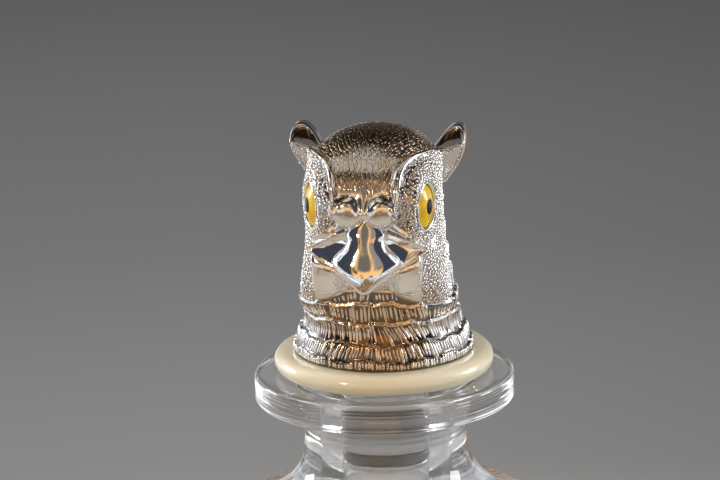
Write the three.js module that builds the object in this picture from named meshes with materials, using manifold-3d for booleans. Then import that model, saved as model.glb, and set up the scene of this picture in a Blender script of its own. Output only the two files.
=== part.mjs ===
// A spirit decanter: a round heavy glass bottle and a stopper with a pheasant's head in silver.
// Millimetres, +Z up. The origin is the centre of the bottle's foot, and the beak points along -Y.
import * as THREE from "three";
import { mergeVertices } from "three/addons/utils/BufferGeometryUtils.js";
import Module from "manifold-3d";

const wasm = await Module();
wasm.setup();

const { degToRad } = THREE.MathUtils;

// Clearances
const gap = 0.3;
const seatGrowth = 0.4;
const plugClearance = 0.55;
const chamfer = 0.5;

// Driving dimensions of the bottle
const bottleHeight = 155;
const lipRadius = 32;
const lipThickness = 7.5;
const lipRounding = 1.5;
const neckRadius = 20;
const neckLength = 8.4;
const neckFlare = 18.4;
const neckFillet = 3;
const boreRadius = 11.05;
const boreLength = 26;
const boreChamfer = 1.4;
const bodyRadius = 56;
const shoulderReach = 14;
const shoulderHeight = 27.5;
const shoulderSlope = 0.44;
const footInset = 10;
const footRounding = 5;
const footThickness = 11;
const glassWall = 4.6;

// Driving dimensions of the stopper
const collarRadius = 27;
const collarThickness = 5.1;
const plugLength = 24.6;
const plugHollowDepth = 8;
const sealWidth = 2.7;
const sealSection = 1.65;
const lowerSealRise = 2.7;
const upperSealRise = 17;
const screwRadius = 2;
const screwHeadRadius = 4;
const screwHeadHeight = 3;
const screwOverrun = 1;
const washerRadius = 5.4;
const washerThickness = 1;
const washerPlay = 1.2;
const nutRadius = 4.6;
const nutHeight = 4;
const headRadius = 22;
const headWall = 3;
const plateThickness = 1.6;
const eyeRadius = 5.3;
const eyeSlimness = 0.8;
const eyeTurn = degToRad(69);
const eyeDome = 1.3;
const pupilRadius = 1.6;
const pupilDome = 0.16;
const bezelWall = 0.7;
const bezelDepth = 1.9;
const bezelRim = 0.7;
const tuftThickness = 3.4;
const tuftRounding = 1;
const tuftSweep = degToRad(14);

// Sizes and places that follow from the ones above
const plugRadius = boreRadius - plugClearance;
const plugHollowRadius = washerRadius + washerPlay;
const screwHole = screwRadius + gap;
const collarUnderside = bottleHeight + gap;
const collarTop = collarUnderside + collarThickness;
const plugTop = collarUnderside - gap;
const plugEnd = collarUnderside - plugLength;
const plugHollowTop = plugEnd + plugHollowDepth;
const plateUnderside = collarTop + gap;
const plateTop = plateUnderside + plateThickness;
const nutUnderside = plateTop + gap;

const roundSides = 36;
const smallSides = 20;

function finish(color, roughness, metalness) {
  return new THREE.MeshStandardMaterial({ color, roughness, metalness });
}

const glass = finish(0xe8eef0, 0.02, 0);
glass.transparent = true;
glass.opacity = 0.35;
const chasedSilver = finish(0xc9c5bd, 0.22, 1);
const polishedSilver = finish(0xd2cfc8, 0.1, 1);
const steel = finish(0x8d8f92, 0.18, 1);
const cream = finish(0xe6dccb, 0.25, 0);
const rubber = finish(0x1b1b1d, 0.6, 0);
const yellowEnamel = finish(0xe2a90c, 0.12, 0);
const blackEnamel = finish(0x0a0a0b, 0.1, 0);

// Closed surface over rings of points: pointAt(turn, rise) gives a point, with turn and rise from 0 to 1.
// The first and last ring are one point each.
function closedSkin(columns, rows, pointAt) {
  const positions = [...pointAt(0, 0)];
  for (let row = 1; row < rows; row += 1) {
    for (let column = 0; column < columns; column += 1) {
      positions.push(...pointAt(column / columns, row / rows));
    }
  }
  positions.push(...pointAt(0, 1));
  const last = positions.length / 3 - 1;
  const at = (row, column) => 1 + (row - 1) * columns + (column % columns);
  const faces = [];
  for (let column = 0; column < columns; column += 1) {
    faces.push(0, at(1, column + 1), at(1, column));
    faces.push(last, at(rows - 1, column), at(rows - 1, column + 1));
    for (let row = 1; row < rows - 1; row += 1) {
      faces.push(at(row, column), at(row, column + 1), at(row + 1, column + 1));
      faces.push(at(row, column), at(row + 1, column + 1), at(row + 1, column));
    }
  }
  const geometry = new THREE.BufferGeometry();
  geometry.setAttribute("position", new THREE.Float32BufferAttribute(positions, 3));
  geometry.setIndex(faces);
  return geometry;
}

// Smooth curve through the rows of a list, read at a place from 0 to 1 along the list.
function between(rows, place) {
  const along = place * (rows.length - 1);
  const start = Math.min(Math.floor(along), rows.length - 2);
  const part = along - start;
  const row = (index) => rows[Math.min(Math.max(index, 0), rows.length - 1)];
  return rows[0].map((_, column) => {
    const [a, b, c, d] = [-1, 0, 1, 2].map((step) => row(start + step)[column]);
    const bend = 2 * a - 5 * b + 4 * c - d + part * (3 * (b - c) + d - a);
    return b + 0.5 * part * (c - a + part * bend);
  });
}

// Turned solid about the Z axis from a profile of radius and height, listed from the bottom up.
function turned(profile, sides) {
  const points = profile.map(([radius, height]) => new THREE.Vector2(radius, height));
  return new THREE.LatheGeometry(points, sides).rotateX(Math.PI / 2);
}

const pathPoints = (path, steps) => path.getPoints(steps).map((point) => [point.x, point.y]);

function solidOf(geometry) {
  const bare = geometry.clone();
  bare.deleteAttribute("normal");
  bare.deleteAttribute("uv");
  const merged = mergeVertices(bare, 1e-4);
  const triVerts = new Uint32Array(merged.index.array);
  const vertProperties = merged.attributes.position.array;
  return new wasm.Manifold(new wasm.Mesh({ numProp: 3, vertProperties, triVerts }));
}

function geometryOf(solid) {
  const mesh = solid.getMesh();
  const geometry = new THREE.BufferGeometry();
  geometry.setAttribute("position", new THREE.BufferAttribute(mesh.vertProperties, 3));
  geometry.setIndex(new THREE.BufferAttribute(mesh.triVerts, 1));
  geometry.computeVertexNormals();
  return geometry;
}

function named(name, geometry, material) {
  const mesh = new THREE.Mesh(geometry, material);
  mesh.name = name;
  return mesh;
}

// Bottle: one outline runs up the outside, over the lip, down the bore and along the inside of the body.
function glassBottle() {
  const neckTop = bottleHeight - lipThickness;
  const neckFoot = neckTop - neckLength;
  const shoulderTop = neckFoot - neckFlare;
  const sideTop = shoulderTop - shoulderHeight;
  const shoulderRadius = neckRadius + shoulderReach;
  const footRadius = bodyRadius - footInset;
  const innerRadius = bodyRadius - glassWall;
  const innerShoulder = shoulderTop - 1.2 * glassWall;
  const innerFoot = footThickness + footRounding;
  const boreFoot = bottleHeight - boreLength;
  const handle = 0.28 * (bodyRadius - neckRadius);
  const rounding = lipRadius - lipRounding;
  const outline = new THREE.Path();
  outline.moveTo(0, 0);
  outline.lineTo(footRadius, 0);
  outline.quadraticCurveTo(footRadius + footRounding, 0, footRadius + footRounding, footRounding);
  outline.bezierCurveTo(bodyRadius - 1, sideTop / 3, bodyRadius, (2 * sideTop) / 3, bodyRadius, sideTop);
  outline.bezierCurveTo(bodyRadius, sideTop + 0.55 * shoulderHeight, shoulderRadius + handle,
    shoulderTop - shoulderSlope * handle, shoulderRadius, shoulderTop);
  outline.bezierCurveTo(shoulderRadius - handle, shoulderTop + shoulderSlope * handle,
    neckRadius, neckFoot - neckFlare / 2, neckRadius, neckFoot);
  outline.lineTo(neckRadius, neckTop - neckFillet);
  outline.quadraticCurveTo(neckRadius, neckTop, neckRadius + neckFillet, neckTop);
  outline.lineTo(rounding, neckTop);
  outline.absarc(rounding, neckTop + lipRounding, lipRounding, -Math.PI / 2, 0);
  outline.absarc(rounding, bottleHeight - lipRounding, lipRounding, 0, Math.PI / 2);
  outline.lineTo(boreRadius + boreChamfer, bottleHeight);
  outline.lineTo(boreRadius, bottleHeight - boreChamfer);
  outline.lineTo(boreRadius, boreFoot);
  outline.bezierCurveTo(boreRadius, boreFoot - neckFlare / 2, shoulderRadius - handle,
    innerShoulder + shoulderSlope * handle, shoulderRadius - 1, innerShoulder);
  outline.bezierCurveTo(shoulderRadius + handle, innerShoulder - shoulderSlope * handle,
    innerRadius, sideTop + 0.45 * shoulderHeight, innerRadius, sideTop);
  outline.bezierCurveTo(innerRadius, (2 * sideTop) / 3, innerRadius - 1, sideTop / 3, footRadius, innerFoot);
  outline.quadraticCurveTo(footRadius - 1, footThickness, footRadius - footInset, footThickness);
  outline.lineTo(0, footThickness);
  return named("glass_bottle", turned(pathPoints(outline, 4), roundSides), glass);
}

// Stopper below the head

function sealRing(name, rise) {
  const outer = boreRadius - gap;
  const inner = outer - sealSection;
  const bulge = sealWidth / 4;
  const bottom = plugEnd + rise;
  const top = bottom + sealWidth;
  const face = [[outer - bulge, bottom], [outer, bottom + bulge], [outer, top - bulge], [outer - bulge, top]];
  return named(name, turned([[inner, bottom], ...face, [inner, top], [inner, bottom]], roundSides), rubber);
}

function plugGroove(rise) {
  const floor = boreRadius - gap - sealSection - gap;
  const bottom = plugEnd + rise - gap;
  const top = plugEnd + rise + sealWidth + gap;
  return [[plugRadius, bottom], [floor, bottom], [floor, top], [plugRadius, top]];
}

function plug() {
  const bevel = 2 * chamfer;
  const foot = [[plugHollowRadius, plugEnd], [plugRadius - bevel, plugEnd], [plugRadius, plugEnd + bevel]];
  const side = [...foot, ...plugGroove(lowerSealRise), ...plugGroove(upperSealRise)];
  const top = [[plugRadius, plugTop - chamfer], [plugRadius - chamfer, plugTop], [screwHole, plugTop]];
  const inside = [[screwHole, plugHollowTop], [plugHollowRadius, plugHollowTop], [plugHollowRadius, plugEnd]];
  return named("plug", turned([...side, ...top, ...inside], roundSides), steel);
}

function collar() {
  const rounding = collarThickness / 2;
  const outline = new THREE.Path();
  outline.moveTo(screwHole, collarUnderside);
  outline.lineTo(collarRadius - rounding, collarUnderside);
  outline.absarc(collarRadius - rounding, collarUnderside + rounding, rounding, -Math.PI / 2, Math.PI / 2);
  outline.lineTo(screwHole, collarTop);
  outline.lineTo(screwHole, collarUnderside);
  return named("collar", turned(pathPoints(outline, 4), roundSides), cream);
}

function basePlate() {
  const radius = headRadius - headWall - gap;
  const edge = [[radius, plateUnderside], [radius, plateTop - chamfer], [radius - chamfer, plateTop]];
  const profile = [[screwHole, plateUnderside], ...edge, [screwHole, plateTop], [screwHole, plateUnderside]];
  return named("base_plate", turned(profile, roundSides), chasedSilver);
}

function screwWasher() {
  const top = plugHollowTop - gap;
  const bottom = top - washerThickness;
  const outside = [[screwHole, bottom], [washerRadius, bottom], [washerRadius, top]];
  const profile = [...outside, [screwHole, top], [screwHole, bottom]];
  return named("screw_washer", turned(profile, smallSides), steel);
}

function clampScrew() {
  const headTop = plugHollowTop - gap - washerThickness - gap;
  const headBottom = headTop - screwHeadHeight;
  const tip = nutUnderside + nutHeight + screwOverrun;
  const flat = [[0, headBottom], [screwHeadRadius - chamfer, headBottom]];
  const head = [...flat, [screwHeadRadius, headBottom + chamfer], [screwHeadRadius, headTop]];
  const shank = [[screwRadius, headTop], [screwRadius, tip - chamfer]];
  const end = [[screwRadius - chamfer, tip], [0, tip]];
  return named("clamp_screw", turned([...head, ...shank, ...end], smallSides), steel);
}

function anchorNut() {
  const shape = new THREE.Shape();
  for (let corner = 0; corner < 6; corner += 1) {
    const angle = (corner * Math.PI) / 3;
    const [x, y] = [nutRadius * Math.cos(angle), nutRadius * Math.sin(angle)];
    if (corner) shape.lineTo(x, y);
    else shape.moveTo(x, y);
  }
  shape.holes.push(new THREE.Path().absarc(0, 0, screwHole, 0, 2 * Math.PI, true));
  const options = { depth: nutHeight, bevelEnabled: false, curveSegments: 12 };
  const nut = named("anchor_nut", new THREE.ExtrudeGeometry(shape, options), steel);
  nut.position.z = nutUnderside;
  return nut;
}

// Head. Its sections are written for a neck of this radius, and carved() brings them to the head's own.
const carvingRadius = 22;
const carved = (length) => (length * headRadius) / carvingRadius;
const onHead = (across, forward, height) =>
  new THREE.Vector3(carved(across), -carved(forward), collarTop + gap + carved(height));

// Solid made of level sections. Each row holds height, half width, front and back from the axis,
// the place of the widest point, and how square the front is (2 is an ellipse, less is a ridge).
function sectionStack(rows, columns, rings, grow) {
  const swell = Math.max(grow, 0);
  return closedSkin(columns, rings, (turn, rise) => {
    const place = Math.max(0, (rise * rings - 1) / (rings - 1));
    const [height, side, front, back, middle, square] = between(rows, place);
    const angle = turn * 2 * Math.PI;
    const [across, ahead] = [Math.sin(angle), Math.cos(angle)];
    const power = ahead > 0 ? square : 2;
    const reach = ahead > 0 ? front - middle : back + middle;
    const width = Math.max(carved(side) + grow, gap / 4);
    const depth = Math.max(carved(reach) + grow, gap / 4);
    const sum = Math.abs(across / width) ** power + Math.abs(ahead / depth) ** power;
    const radius = rise === 0 || rise === 1 ? 0 : sum ** (-1 / power);
    const lift = place === 0 ? -swell : swell * Math.floor(rise);
    const centre = onHead(0, middle, height);
    return [radius * across, centre.y - radius * ahead, centre.z + lift];
  });
}

// Tapered bar along a curve: halfSize(fullness) gives its half depth and half height, full in the middle.
function taperedBar(curve, columns, rings, bluntness, halfSize) {
  const up = new THREE.Vector3(0, 0, 1);
  return closedSkin(columns, rings, (turn, place) => {
    const centre = curve.getPoint(place);
    const along = curve.getTangent(place);
    const outward = new THREE.Vector3().crossVectors(along, up).normalize();
    const upward = new THREE.Vector3().crossVectors(outward, along);
    const fullness = Math.sin(Math.PI * place) ** bluntness;
    const [depth, height] = place === 0 || place === 1 ? [0, 0] : halfSize(fullness);
    const angle = turn * 2 * Math.PI;
    centre.addScaledVector(outward, depth * Math.cos(angle));
    centre.addScaledVector(upward, -height * Math.sin(angle));
    return centre.toArray();
  });
}

// A curve over the head's front, the same on both sides, from its middle point out to its end point.
function acrossHead(middle, halfway, end) {
  const mirrored = ([across, forward, height]) => onHead(-across, forward, height);
  const points = [mirrored(end), mirrored(halfway), onHead(...middle), onHead(...halfway), onHead(...end)];
  return new THREE.CatmullRomCurve3(points);
}

const headSections = [
  [0, 22, 22, 22, 0, 2],
  [4.2, 20.6, 20.7, 20.6, 0, 2],
  [9.2, 18.7, 19, 18.8, 1, 2],
  [14.7, 19.2, 19.6, 18.4, 8, 2.3],
  [20.7, 18.4, 20.8, 19.2, 12, 2.6],
  [28.7, 16.8, 22, 20.8, 11, 2.6],
  [36.7, 16.3, 23.4, 21.4, 11, 2.6],
  [43.2, 16, 24.4, 20.8, 10, 2.6],
  [48.2, 15.4, 22.2, 19, 8, 2.5],
  [51.9, 13.2, 17.6, 15.6, 5, 2.3],
  [54.4, 9.2, 12, 11, 2, 2],
  [55.6, 4.6, 5.8, 5.8, 0, 2],
  [55.9, 0, 0, 0, 0, 2],
];

function cereLobe(side, grow) {
  const lobe = new THREE.SphereGeometry(1, 12, 8);
  lobe.scale(carved(4.4) + grow, carved(3.4) + grow, carved(3.6) + grow);
  const centre = onHead(3.4 * side, 22.6, 40.9);
  return solidOf(lobe.translate(centre.x, centre.y, centre.z));
}

function headSolid(grow) {
  return solidOf(sectionStack(headSections, 40, 25, grow)).add(cereLobe(-1, grow)).add(cereLobe(1, grow));
}

// The hollow runs on below the rim, so that it cuts the head open there. A rebate in the rim takes the plate.
function headHollow() {
  const rows = headSections.map(([height, ...rest]) => [height * (1 - headWall / 56), ...rest]);
  rows[0][0] = -2;
  const radius = headRadius - headWall;
  const [bottom, top] = [collarTop - 1, plateTop + gap];
  const rebate = turned([[0, bottom], [radius, bottom], [radius, top], [0, top]], roundSides);
  return solidOf(sectionStack(rows, 24, 16, -headWall)).add(solidOf(rebate));
}

// Upper beak: a hooked wedge of level sections, with a band out to each corner of the gape.
const beakSections = [
  [21.4, 1.6, 28.6, -22, 26.8, 1.7],
  [23.7, 4.1, 29.7, -18, 25.6, 1.7],
  [25.9, 7, 29.9, -18, 24.4, 1.7],
  [27.5, 8.1, 29.5, -18, 23.6, 1.7],
  [29.7, 6.6, 28.7, -18, 23.8, 1.7],
  [32.1, 4.7, 27.8, -18, 24.2, 1.7],
  [34.5, 5, 27, -18, 24, 1.8],
  [36.3, 4, 26, -18, 23.6, 1.8],
  [37.1, 0, 23, -23, 23, 2],
];

function upperBeakSolid(grow) {
  const gape = acrossHead([0, 24, 32.7], [9.8, 21, 31.1], [14.4, 16.6, 29.1]);
  const band = taperedBar(gape, 8, 16, 0.5, (fullness) =>
    [carved(0.4 + 1.4 * fullness) + grow, carved(0.6 + 2 * fullness) + grow]);
  return solidOf(sectionStack(beakSections, 20, 14, grow)).add(solidOf(band));
}

function lowerBeakSolid() {
  const jaw = acrossHead([0, 23, 20.3], [9, 20.8, 23.3], [14, 16.2, 27.1]);
  return solidOf(taperedBar(jaw, 10, 18, 0.7, (fullness) =>
    [carved(0.4 + 2.4 * fullness), carved(0.5 + 3.2 * fullness)]));
}

// Ear tuft: a leaf whose face is seen from the front, swept back and cut to sit on the head.
function tuftSolid(side) {
  const at = (across, height) => [carved(across) * side, carved(height)];
  const leaf = new THREE.Shape();
  leaf.moveTo(...at(9, 43.7));
  leaf.quadraticCurveTo(...at(14, 40.3), ...at(16.6, 41.1));
  leaf.bezierCurveTo(...at(18.6, 43.3), ...at(22.3, 47.3), ...at(22.4, 50.1));
  leaf.bezierCurveTo(...at(22.5, 53.7), ...at(20.6, 55.3), ...at(18.4, 54.9));
  leaf.bezierCurveTo(...at(15.6, 54.5), ...at(13.6, 51.5), ...at(9, 48.7));
  leaf.closePath();
  const round = tuftRounding;
  const depth = tuftThickness - 2 * round;
  const bevel = { bevelThickness: round, bevelSize: round, bevelOffset: -round, bevelSegments: 2 };
  const geometry = new THREE.ExtrudeGeometry(leaf, { depth, curveSegments: 5, ...bevel });
  geometry.translate(0, 0, -depth / 2);
  const foot = onHead(0, -0.5, 0);
  return solidOf(geometry.rotateX(Math.PI / 2).rotateZ(side * tuftSweep).translate(0, foot.y, foot.z));
}

// Eye: a slim oval cup with the iris in it and the pupil in the iris, drawn about the eye's own axis.
const bezelOuter = eyeRadius + bezelWall;
const irisRadius = eyeRadius - gap;
const irisFloor = -bezelDepth + bezelWall + gap;

function eyeFrame(side) {
  const outward = new THREE.Vector3(side * Math.sin(eyeTurn), -Math.cos(eyeTurn), 0);
  const upward = new THREE.Vector3(0, 0, 1);
  const along = new THREE.Vector3().crossVectors(upward, outward);
  const frame = new THREE.Group();
  frame.quaternion.setFromRotationMatrix(new THREE.Matrix4().makeBasis(along, upward, outward));
  frame.position.copy(onHead(side * 14.2, 18.8, 40.2));
  frame.scale.set(eyeSlimness, 1, 1);
  frame.updateMatrix();
  return frame;
}

function eyeSocket(side) {
  const radius = bezelOuter + gap;
  const [bottom, top] = [-bezelDepth - gap, bezelOuter];
  const cutter = turned([[0, bottom], [radius, bottom], [radius, top], [0, top]], smallSides);
  return solidOf(cutter.applyMatrix4(eyeFrame(side).matrix));
}

function eyePieces(side, word) {
  const cupFloor = irisFloor - gap;
  const pit = pupilRadius + gap;
  const outside = [[0, -bezelDepth], [bezelOuter, -bezelDepth], [bezelOuter, bezelRim]];
  const cup = [...outside, [eyeRadius, bezelRim], [eyeRadius, cupFloor], [0, cupFloor]];
  const dome = [1, 0.8, 0.55].map((share) => [irisRadius * share, eyeDome * (1 - share * share)]);
  const iris = [[0, irisFloor], [irisRadius, irisFloor], ...dome, [pit, eyeDome], [pit, 0], [0, 0]];
  const crown = [1, 0.6, 0].map((share) => [pupilRadius * share, eyeDome + pupilDome * (1 - share * share)]);
  const pupil = [[0, gap], [pupilRadius, gap], ...crown];
  const frame = eyeFrame(side);
  frame.add(named(`${word}_eye_bezel`, turned(cup, smallSides), polishedSilver));
  frame.add(named(`${word}_iris`, turned(iris, smallSides), yellowEnamel));
  frame.add(named(`${word}_pupil`, turned(pupil, smallSides / 2), blackEnamel));
  return frame;
}

function headPieces() {
  const seat = headSolid(seatGrowth);
  const shell = headSolid(0).subtract(headHollow()).subtract(eyeSocket(-1)).subtract(eyeSocket(1));
  const upper = upperBeakSolid(0).subtract(seat);
  const lower = lowerBeakSolid().subtract(seat).subtract(upperBeakSolid(seatGrowth));
  const head = new THREE.Group();
  head.add(named("head_shell", geometryOf(shell), chasedSilver));
  head.add(named("upper_beak", geometryOf(upper), polishedSilver));
  head.add(named("lower_beak", geometryOf(lower), polishedSilver));
  for (const [side, word] of [[1, "left"], [-1, "right"]]) {
    head.add(named(`${word}_tuft`, geometryOf(tuftSolid(side).subtract(seat)), polishedSilver));
    head.add(eyePieces(side, word));
  }
  return head;
}

const decanter = new THREE.Group();
decanter.add(glassBottle());
decanter.add(sealRing("seal_ring_lower", lowerSealRise), sealRing("seal_ring_upper", upperSealRise));
decanter.add(plug(), collar(), clampScrew(), screwWasher(), anchorNut(), basePlate());
decanter.add(headPieces());

export default decanter;
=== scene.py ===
import math

import bpy
import numpy as np
from mathutils import Matrix, Vector


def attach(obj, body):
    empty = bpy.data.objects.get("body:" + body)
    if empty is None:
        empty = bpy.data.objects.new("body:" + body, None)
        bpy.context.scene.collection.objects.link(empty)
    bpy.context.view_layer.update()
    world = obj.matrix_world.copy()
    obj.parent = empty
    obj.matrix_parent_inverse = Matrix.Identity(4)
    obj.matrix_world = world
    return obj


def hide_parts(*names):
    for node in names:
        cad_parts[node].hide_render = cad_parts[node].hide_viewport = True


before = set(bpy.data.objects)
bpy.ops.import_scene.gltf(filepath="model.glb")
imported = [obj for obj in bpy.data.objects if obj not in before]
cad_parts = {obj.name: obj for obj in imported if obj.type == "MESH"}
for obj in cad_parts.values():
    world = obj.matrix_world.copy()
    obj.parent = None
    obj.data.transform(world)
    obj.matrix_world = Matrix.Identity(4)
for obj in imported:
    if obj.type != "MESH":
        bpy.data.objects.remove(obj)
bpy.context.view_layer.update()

scene = bpy.context.scene
MM = 0.001

COLLAR_UNDERSIDE = 155.3
COLLAR_THICKNESS = 5.1
COLLAR_TOP = COLLAR_UNDERSIDE + COLLAR_THICKNESS
HEAD_FOOT = COLLAR_TOP + 0.3


# Meshes

def set_values(mesh, label, values, kind="FLOAT"):
    """Stores a number or a vector for each point of a mesh."""
    field = "value" if kind == "FLOAT" else "vector"
    mesh.attributes.new(label, kind, "POINT").data.foreach_set(field, np.asarray(values, np.float32).ravel())


def link_mesh(name, mesh):
    piece = bpy.data.objects.new(name, mesh)
    scene.collection.objects.link(piece)
    return piece


def add_mesh(name, points, faces, finish, numbers=None, sharp=None):
    """A smooth-shaded closed object. numbers holds one value per point for each attribute."""
    mesh = bpy.data.meshes.new(name)
    mesh.from_pydata((np.asarray(points, float) * MM).tolist(), [], [list(map(int, f)) for f in faces])
    mesh.update()
    for label, values in (numbers or {}).items():
        set_values(mesh, label, values)
    mesh.polygons.foreach_set("use_smooth", [True] * len(mesh.polygons))
    if sharp:
        mesh.set_sharp_from_angle(angle=math.radians(sharp))
    mesh.materials.append(finish)
    return turn_outward(link_mesh(name, mesh))


def turn_outward(piece):
    """Faces of a closed mesh all point out of it."""
    mesh = piece.data
    corners = np.zeros(len(mesh.vertices) * 3)
    mesh.vertices.foreach_get("co", corners)
    corners = corners.reshape(-1, 3)
    mesh.calc_loop_triangles()
    order = np.zeros(len(mesh.loop_triangles) * 3, int)
    mesh.loop_triangles.foreach_get("vertices", order)
    a, b, c = (corners[order[i::3]] for i in range(3))
    if np.einsum("ij,ij->i", a, np.cross(b, c)).sum() < 0:
        mesh.flip_normals()
    return piece


def ring_faces(rings, columns, first=0):
    """Quads between closed rings of points laid out one after another."""
    row, column = np.meshgrid(np.arange(rings - 1), np.arange(columns), indexing="ij")
    a = first + row * columns + column
    b = first + row * columns + (column + 1) % columns
    return np.stack([a, b, b + columns, a + columns], -1).reshape(-1, 4).tolist()


def capped_faces(rings, columns):
    """Quads between the rings, and a fan at either end to the two points that follow the rings."""
    faces = ring_faces(rings, columns)
    start_point, end_point, end = rings * columns, rings * columns + 1, (rings - 1) * columns
    faces += [((c + 1) % columns, c, start_point) for c in range(columns)]
    return faces + [(end + c, end + (c + 1) % columns, end_point) for c in range(columns)]


def smooth_step(low, high, value):
    part = np.clip((value - low) / (high - low), 0, 1)
    return part * part * (3 - 2 * part)


def bell(value, middle, width):
    return np.exp(-((value - middle) / width) ** 2)


def through(points, steps=12, closed=False):
    """Smooth curve through the points, which it passes in order."""
    points = np.asarray(points, float)
    count = len(points)
    out = []
    for span in range(count if closed else count - 1):
        picks = [span - 1, span, span + 1, span + 2]
        if closed:
            a, b, c, d = (points[i % count] for i in picks)
        else:
            a, b, c, d = (points[min(max(i, 0), count - 1)] for i in picks)
        for t in np.arange(steps) / steps:
            out.append(b + 0.5 * t * (c - a + t * (2 * a - 5 * b + 4 * c - d + t * (3 * (b - c) + d - a))))
    if not closed:
        out.append(points[-1])
    return np.array(out)


# Nodes

def add_node(tree, kind, settings=None, links=None):
    """A node with its settings, and its inputs set to a value or linked from another socket."""
    node = tree.nodes.new(kind)
    for key, value in (settings or {}).items():
        setattr(node, key, value)
    for key, value in (links or {}).items():
        socket = node.inputs[key]
        if isinstance(value, bpy.types.NodeSocket):
            tree.links.new(value, socket)
        else:
            socket.default_value = value
    return node


def socket_named(sockets, name):
    return next(s for s in sockets if s.enabled and s.name == name)


def add_math(tree, operation, first, second=None, clamp=False):
    links = {0: first} if second is None else {0: first, 1: second}
    return add_node(tree, "ShaderNodeMath", {"operation": operation, "use_clamp": clamp}, links).outputs[0]


def add_range(tree, value, low, high, start=0.0, end=1.0, kind="LINEAR"):
    """Carries a value from one range over to another, held at its ends."""
    return add_node(tree, "ShaderNodeMapRange", {"interpolation_type": kind},
                    {0: value, 1: low, 2: high, 3: start, 4: end}).outputs[0]


def add_window(tree, value, low, high):
    """Rises smoothly from 0 to 1 between two values, or falls when the first is the larger."""
    return add_range(tree, value, low, high, kind="SMOOTHSTEP")


def add_dot(tree, first, second):
    dot = add_node(tree, "ShaderNodeVectorMath", {"operation": "DOT_PRODUCT"}, {0: first, 1: second})
    return dot.outputs["Value"]


def add_axes(tree, vector):
    return add_node(tree, "ShaderNodeSeparateXYZ", links={0: vector}).outputs


def add_noise(tree, place, scale, detail):
    links = {"Vector": place, "Scale": scale, "Detail": detail}
    return add_node(tree, "ShaderNodeTexNoise", links=links).outputs[0]


def add_ramp(tree, value, *stops):
    """A colour that runs through stops, each a place from 0 to 1 and its colour."""
    ramp = add_node(tree, "ShaderNodeValToRGB", links={"Fac": value})
    elements = ramp.color_ramp.elements
    for element, (place, color) in zip(elements, (stops[0], stops[-1])):
        element.position, element.color = place, (*color, 1)
    for place, color in stops[1:-1]:
        elements.new(place).color = (*color, 1)
    return ramp.outputs[0]


def add_blend(tree, below, over, mask, kind="MIX"):
    """One colour over another where the mask is 1. Either is a socket or three numbers."""
    mix = add_node(tree, "ShaderNodeMix", {"data_type": "RGBA", "blend_type": kind})
    for name, value in (("Factor", mask), ("A", below), ("B", over)):
        socket = socket_named(mix.inputs, name)
        if isinstance(value, bpy.types.NodeSocket):
            tree.links.new(value, socket)
        else:
            socket.default_value = (*value, 1)
    return socket_named(mix.outputs, "Result")


# Geometry node trees

def start_tree(name, inputs):
    tree = bpy.data.node_groups.new(name, "GeometryNodeTree")
    inputs = [("Geometry", "NodeSocketGeometry", None), *inputs, ("Finish", "NodeSocketMaterial", None)]
    for label, kind, value in inputs:
        socket = tree.interface.new_socket(label, in_out="INPUT", socket_type=kind)
        if value is not None:
            socket.default_value = value
    tree.interface.new_socket("Geometry", in_out="OUTPUT", socket_type="NodeSocketGeometry")
    return tree, tree.nodes.new("NodeGroupInput").outputs


def named_value(tree, name, kind="FLOAT"):
    node = add_node(tree, "GeometryNodeInputNamedAttribute", {"data_type": kind}, {"Name": name})
    return socket_named(node.outputs, "Attribute")


def finish_tree(tree, geometry, finish):
    """Realizes what the tree made, shades it smooth and gives it its finish."""
    real = add_node(tree, "GeometryNodeRealizeInstances", links={"Geometry": geometry})
    smooth = add_node(tree, "GeometryNodeSetShadeSmooth", links={"Geometry": real.outputs[0]})
    painted = add_node(tree, "GeometryNodeSetMaterial",
                       links={"Geometry": smooth.outputs[0], "Material": finish})
    tree.links.new(painted.outputs[0], tree.nodes.new("NodeGroupOutput").inputs[0])
    return tree


def turned_tree():
    """Turns a section about the Z axis. The section's points lie at radius less hub, and height."""
    tree, given = start_tree("Turned on the axis", [
        ("Sides", "NodeSocketInt", 128), ("Hub", "NodeSocketFloat", MM)])
    section = add_node(tree, "GeometryNodeMeshToCurve", links={"Mesh": given["Geometry"]})
    circle = add_node(tree, "GeometryNodeCurvePrimitiveCircle",
                      links={"Resolution": given["Sides"], "Radius": given["Hub"]})
    swept = add_node(tree, "GeometryNodeCurveToMesh",
                     links={"Curve": circle.outputs["Curve"], "Profile Curve": section.outputs["Curve"]})
    merged = add_node(tree, "GeometryNodeMergeByDistance",
                      links={"Geometry": swept.outputs["Mesh"], "Distance": 0.002 * MM})
    return finish_tree(tree, merged.outputs[0], given["Finish"])


def barbs_tree():
    """Runs a round bar along each line, as thick at each point as its girth says."""
    tree, given = start_tree("Barbs along lines", [("Sides", "NodeSocketInt", 6)])
    lines = add_node(tree, "GeometryNodeMeshToCurve", links={"Mesh": given["Geometry"]})
    circle = add_node(tree, "GeometryNodeCurvePrimitiveCircle",
                      links={"Resolution": given["Sides"], "Radius": 1.0})
    bars = add_node(tree, "GeometryNodeCurveToMesh",
                    links={"Curve": lines.outputs["Curve"], "Profile Curve": circle.outputs["Curve"],
                           "Scale": named_value(tree, "girth"), "Fill Caps": True})
    return finish_tree(tree, bars.outputs["Mesh"], given["Finish"])


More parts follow.
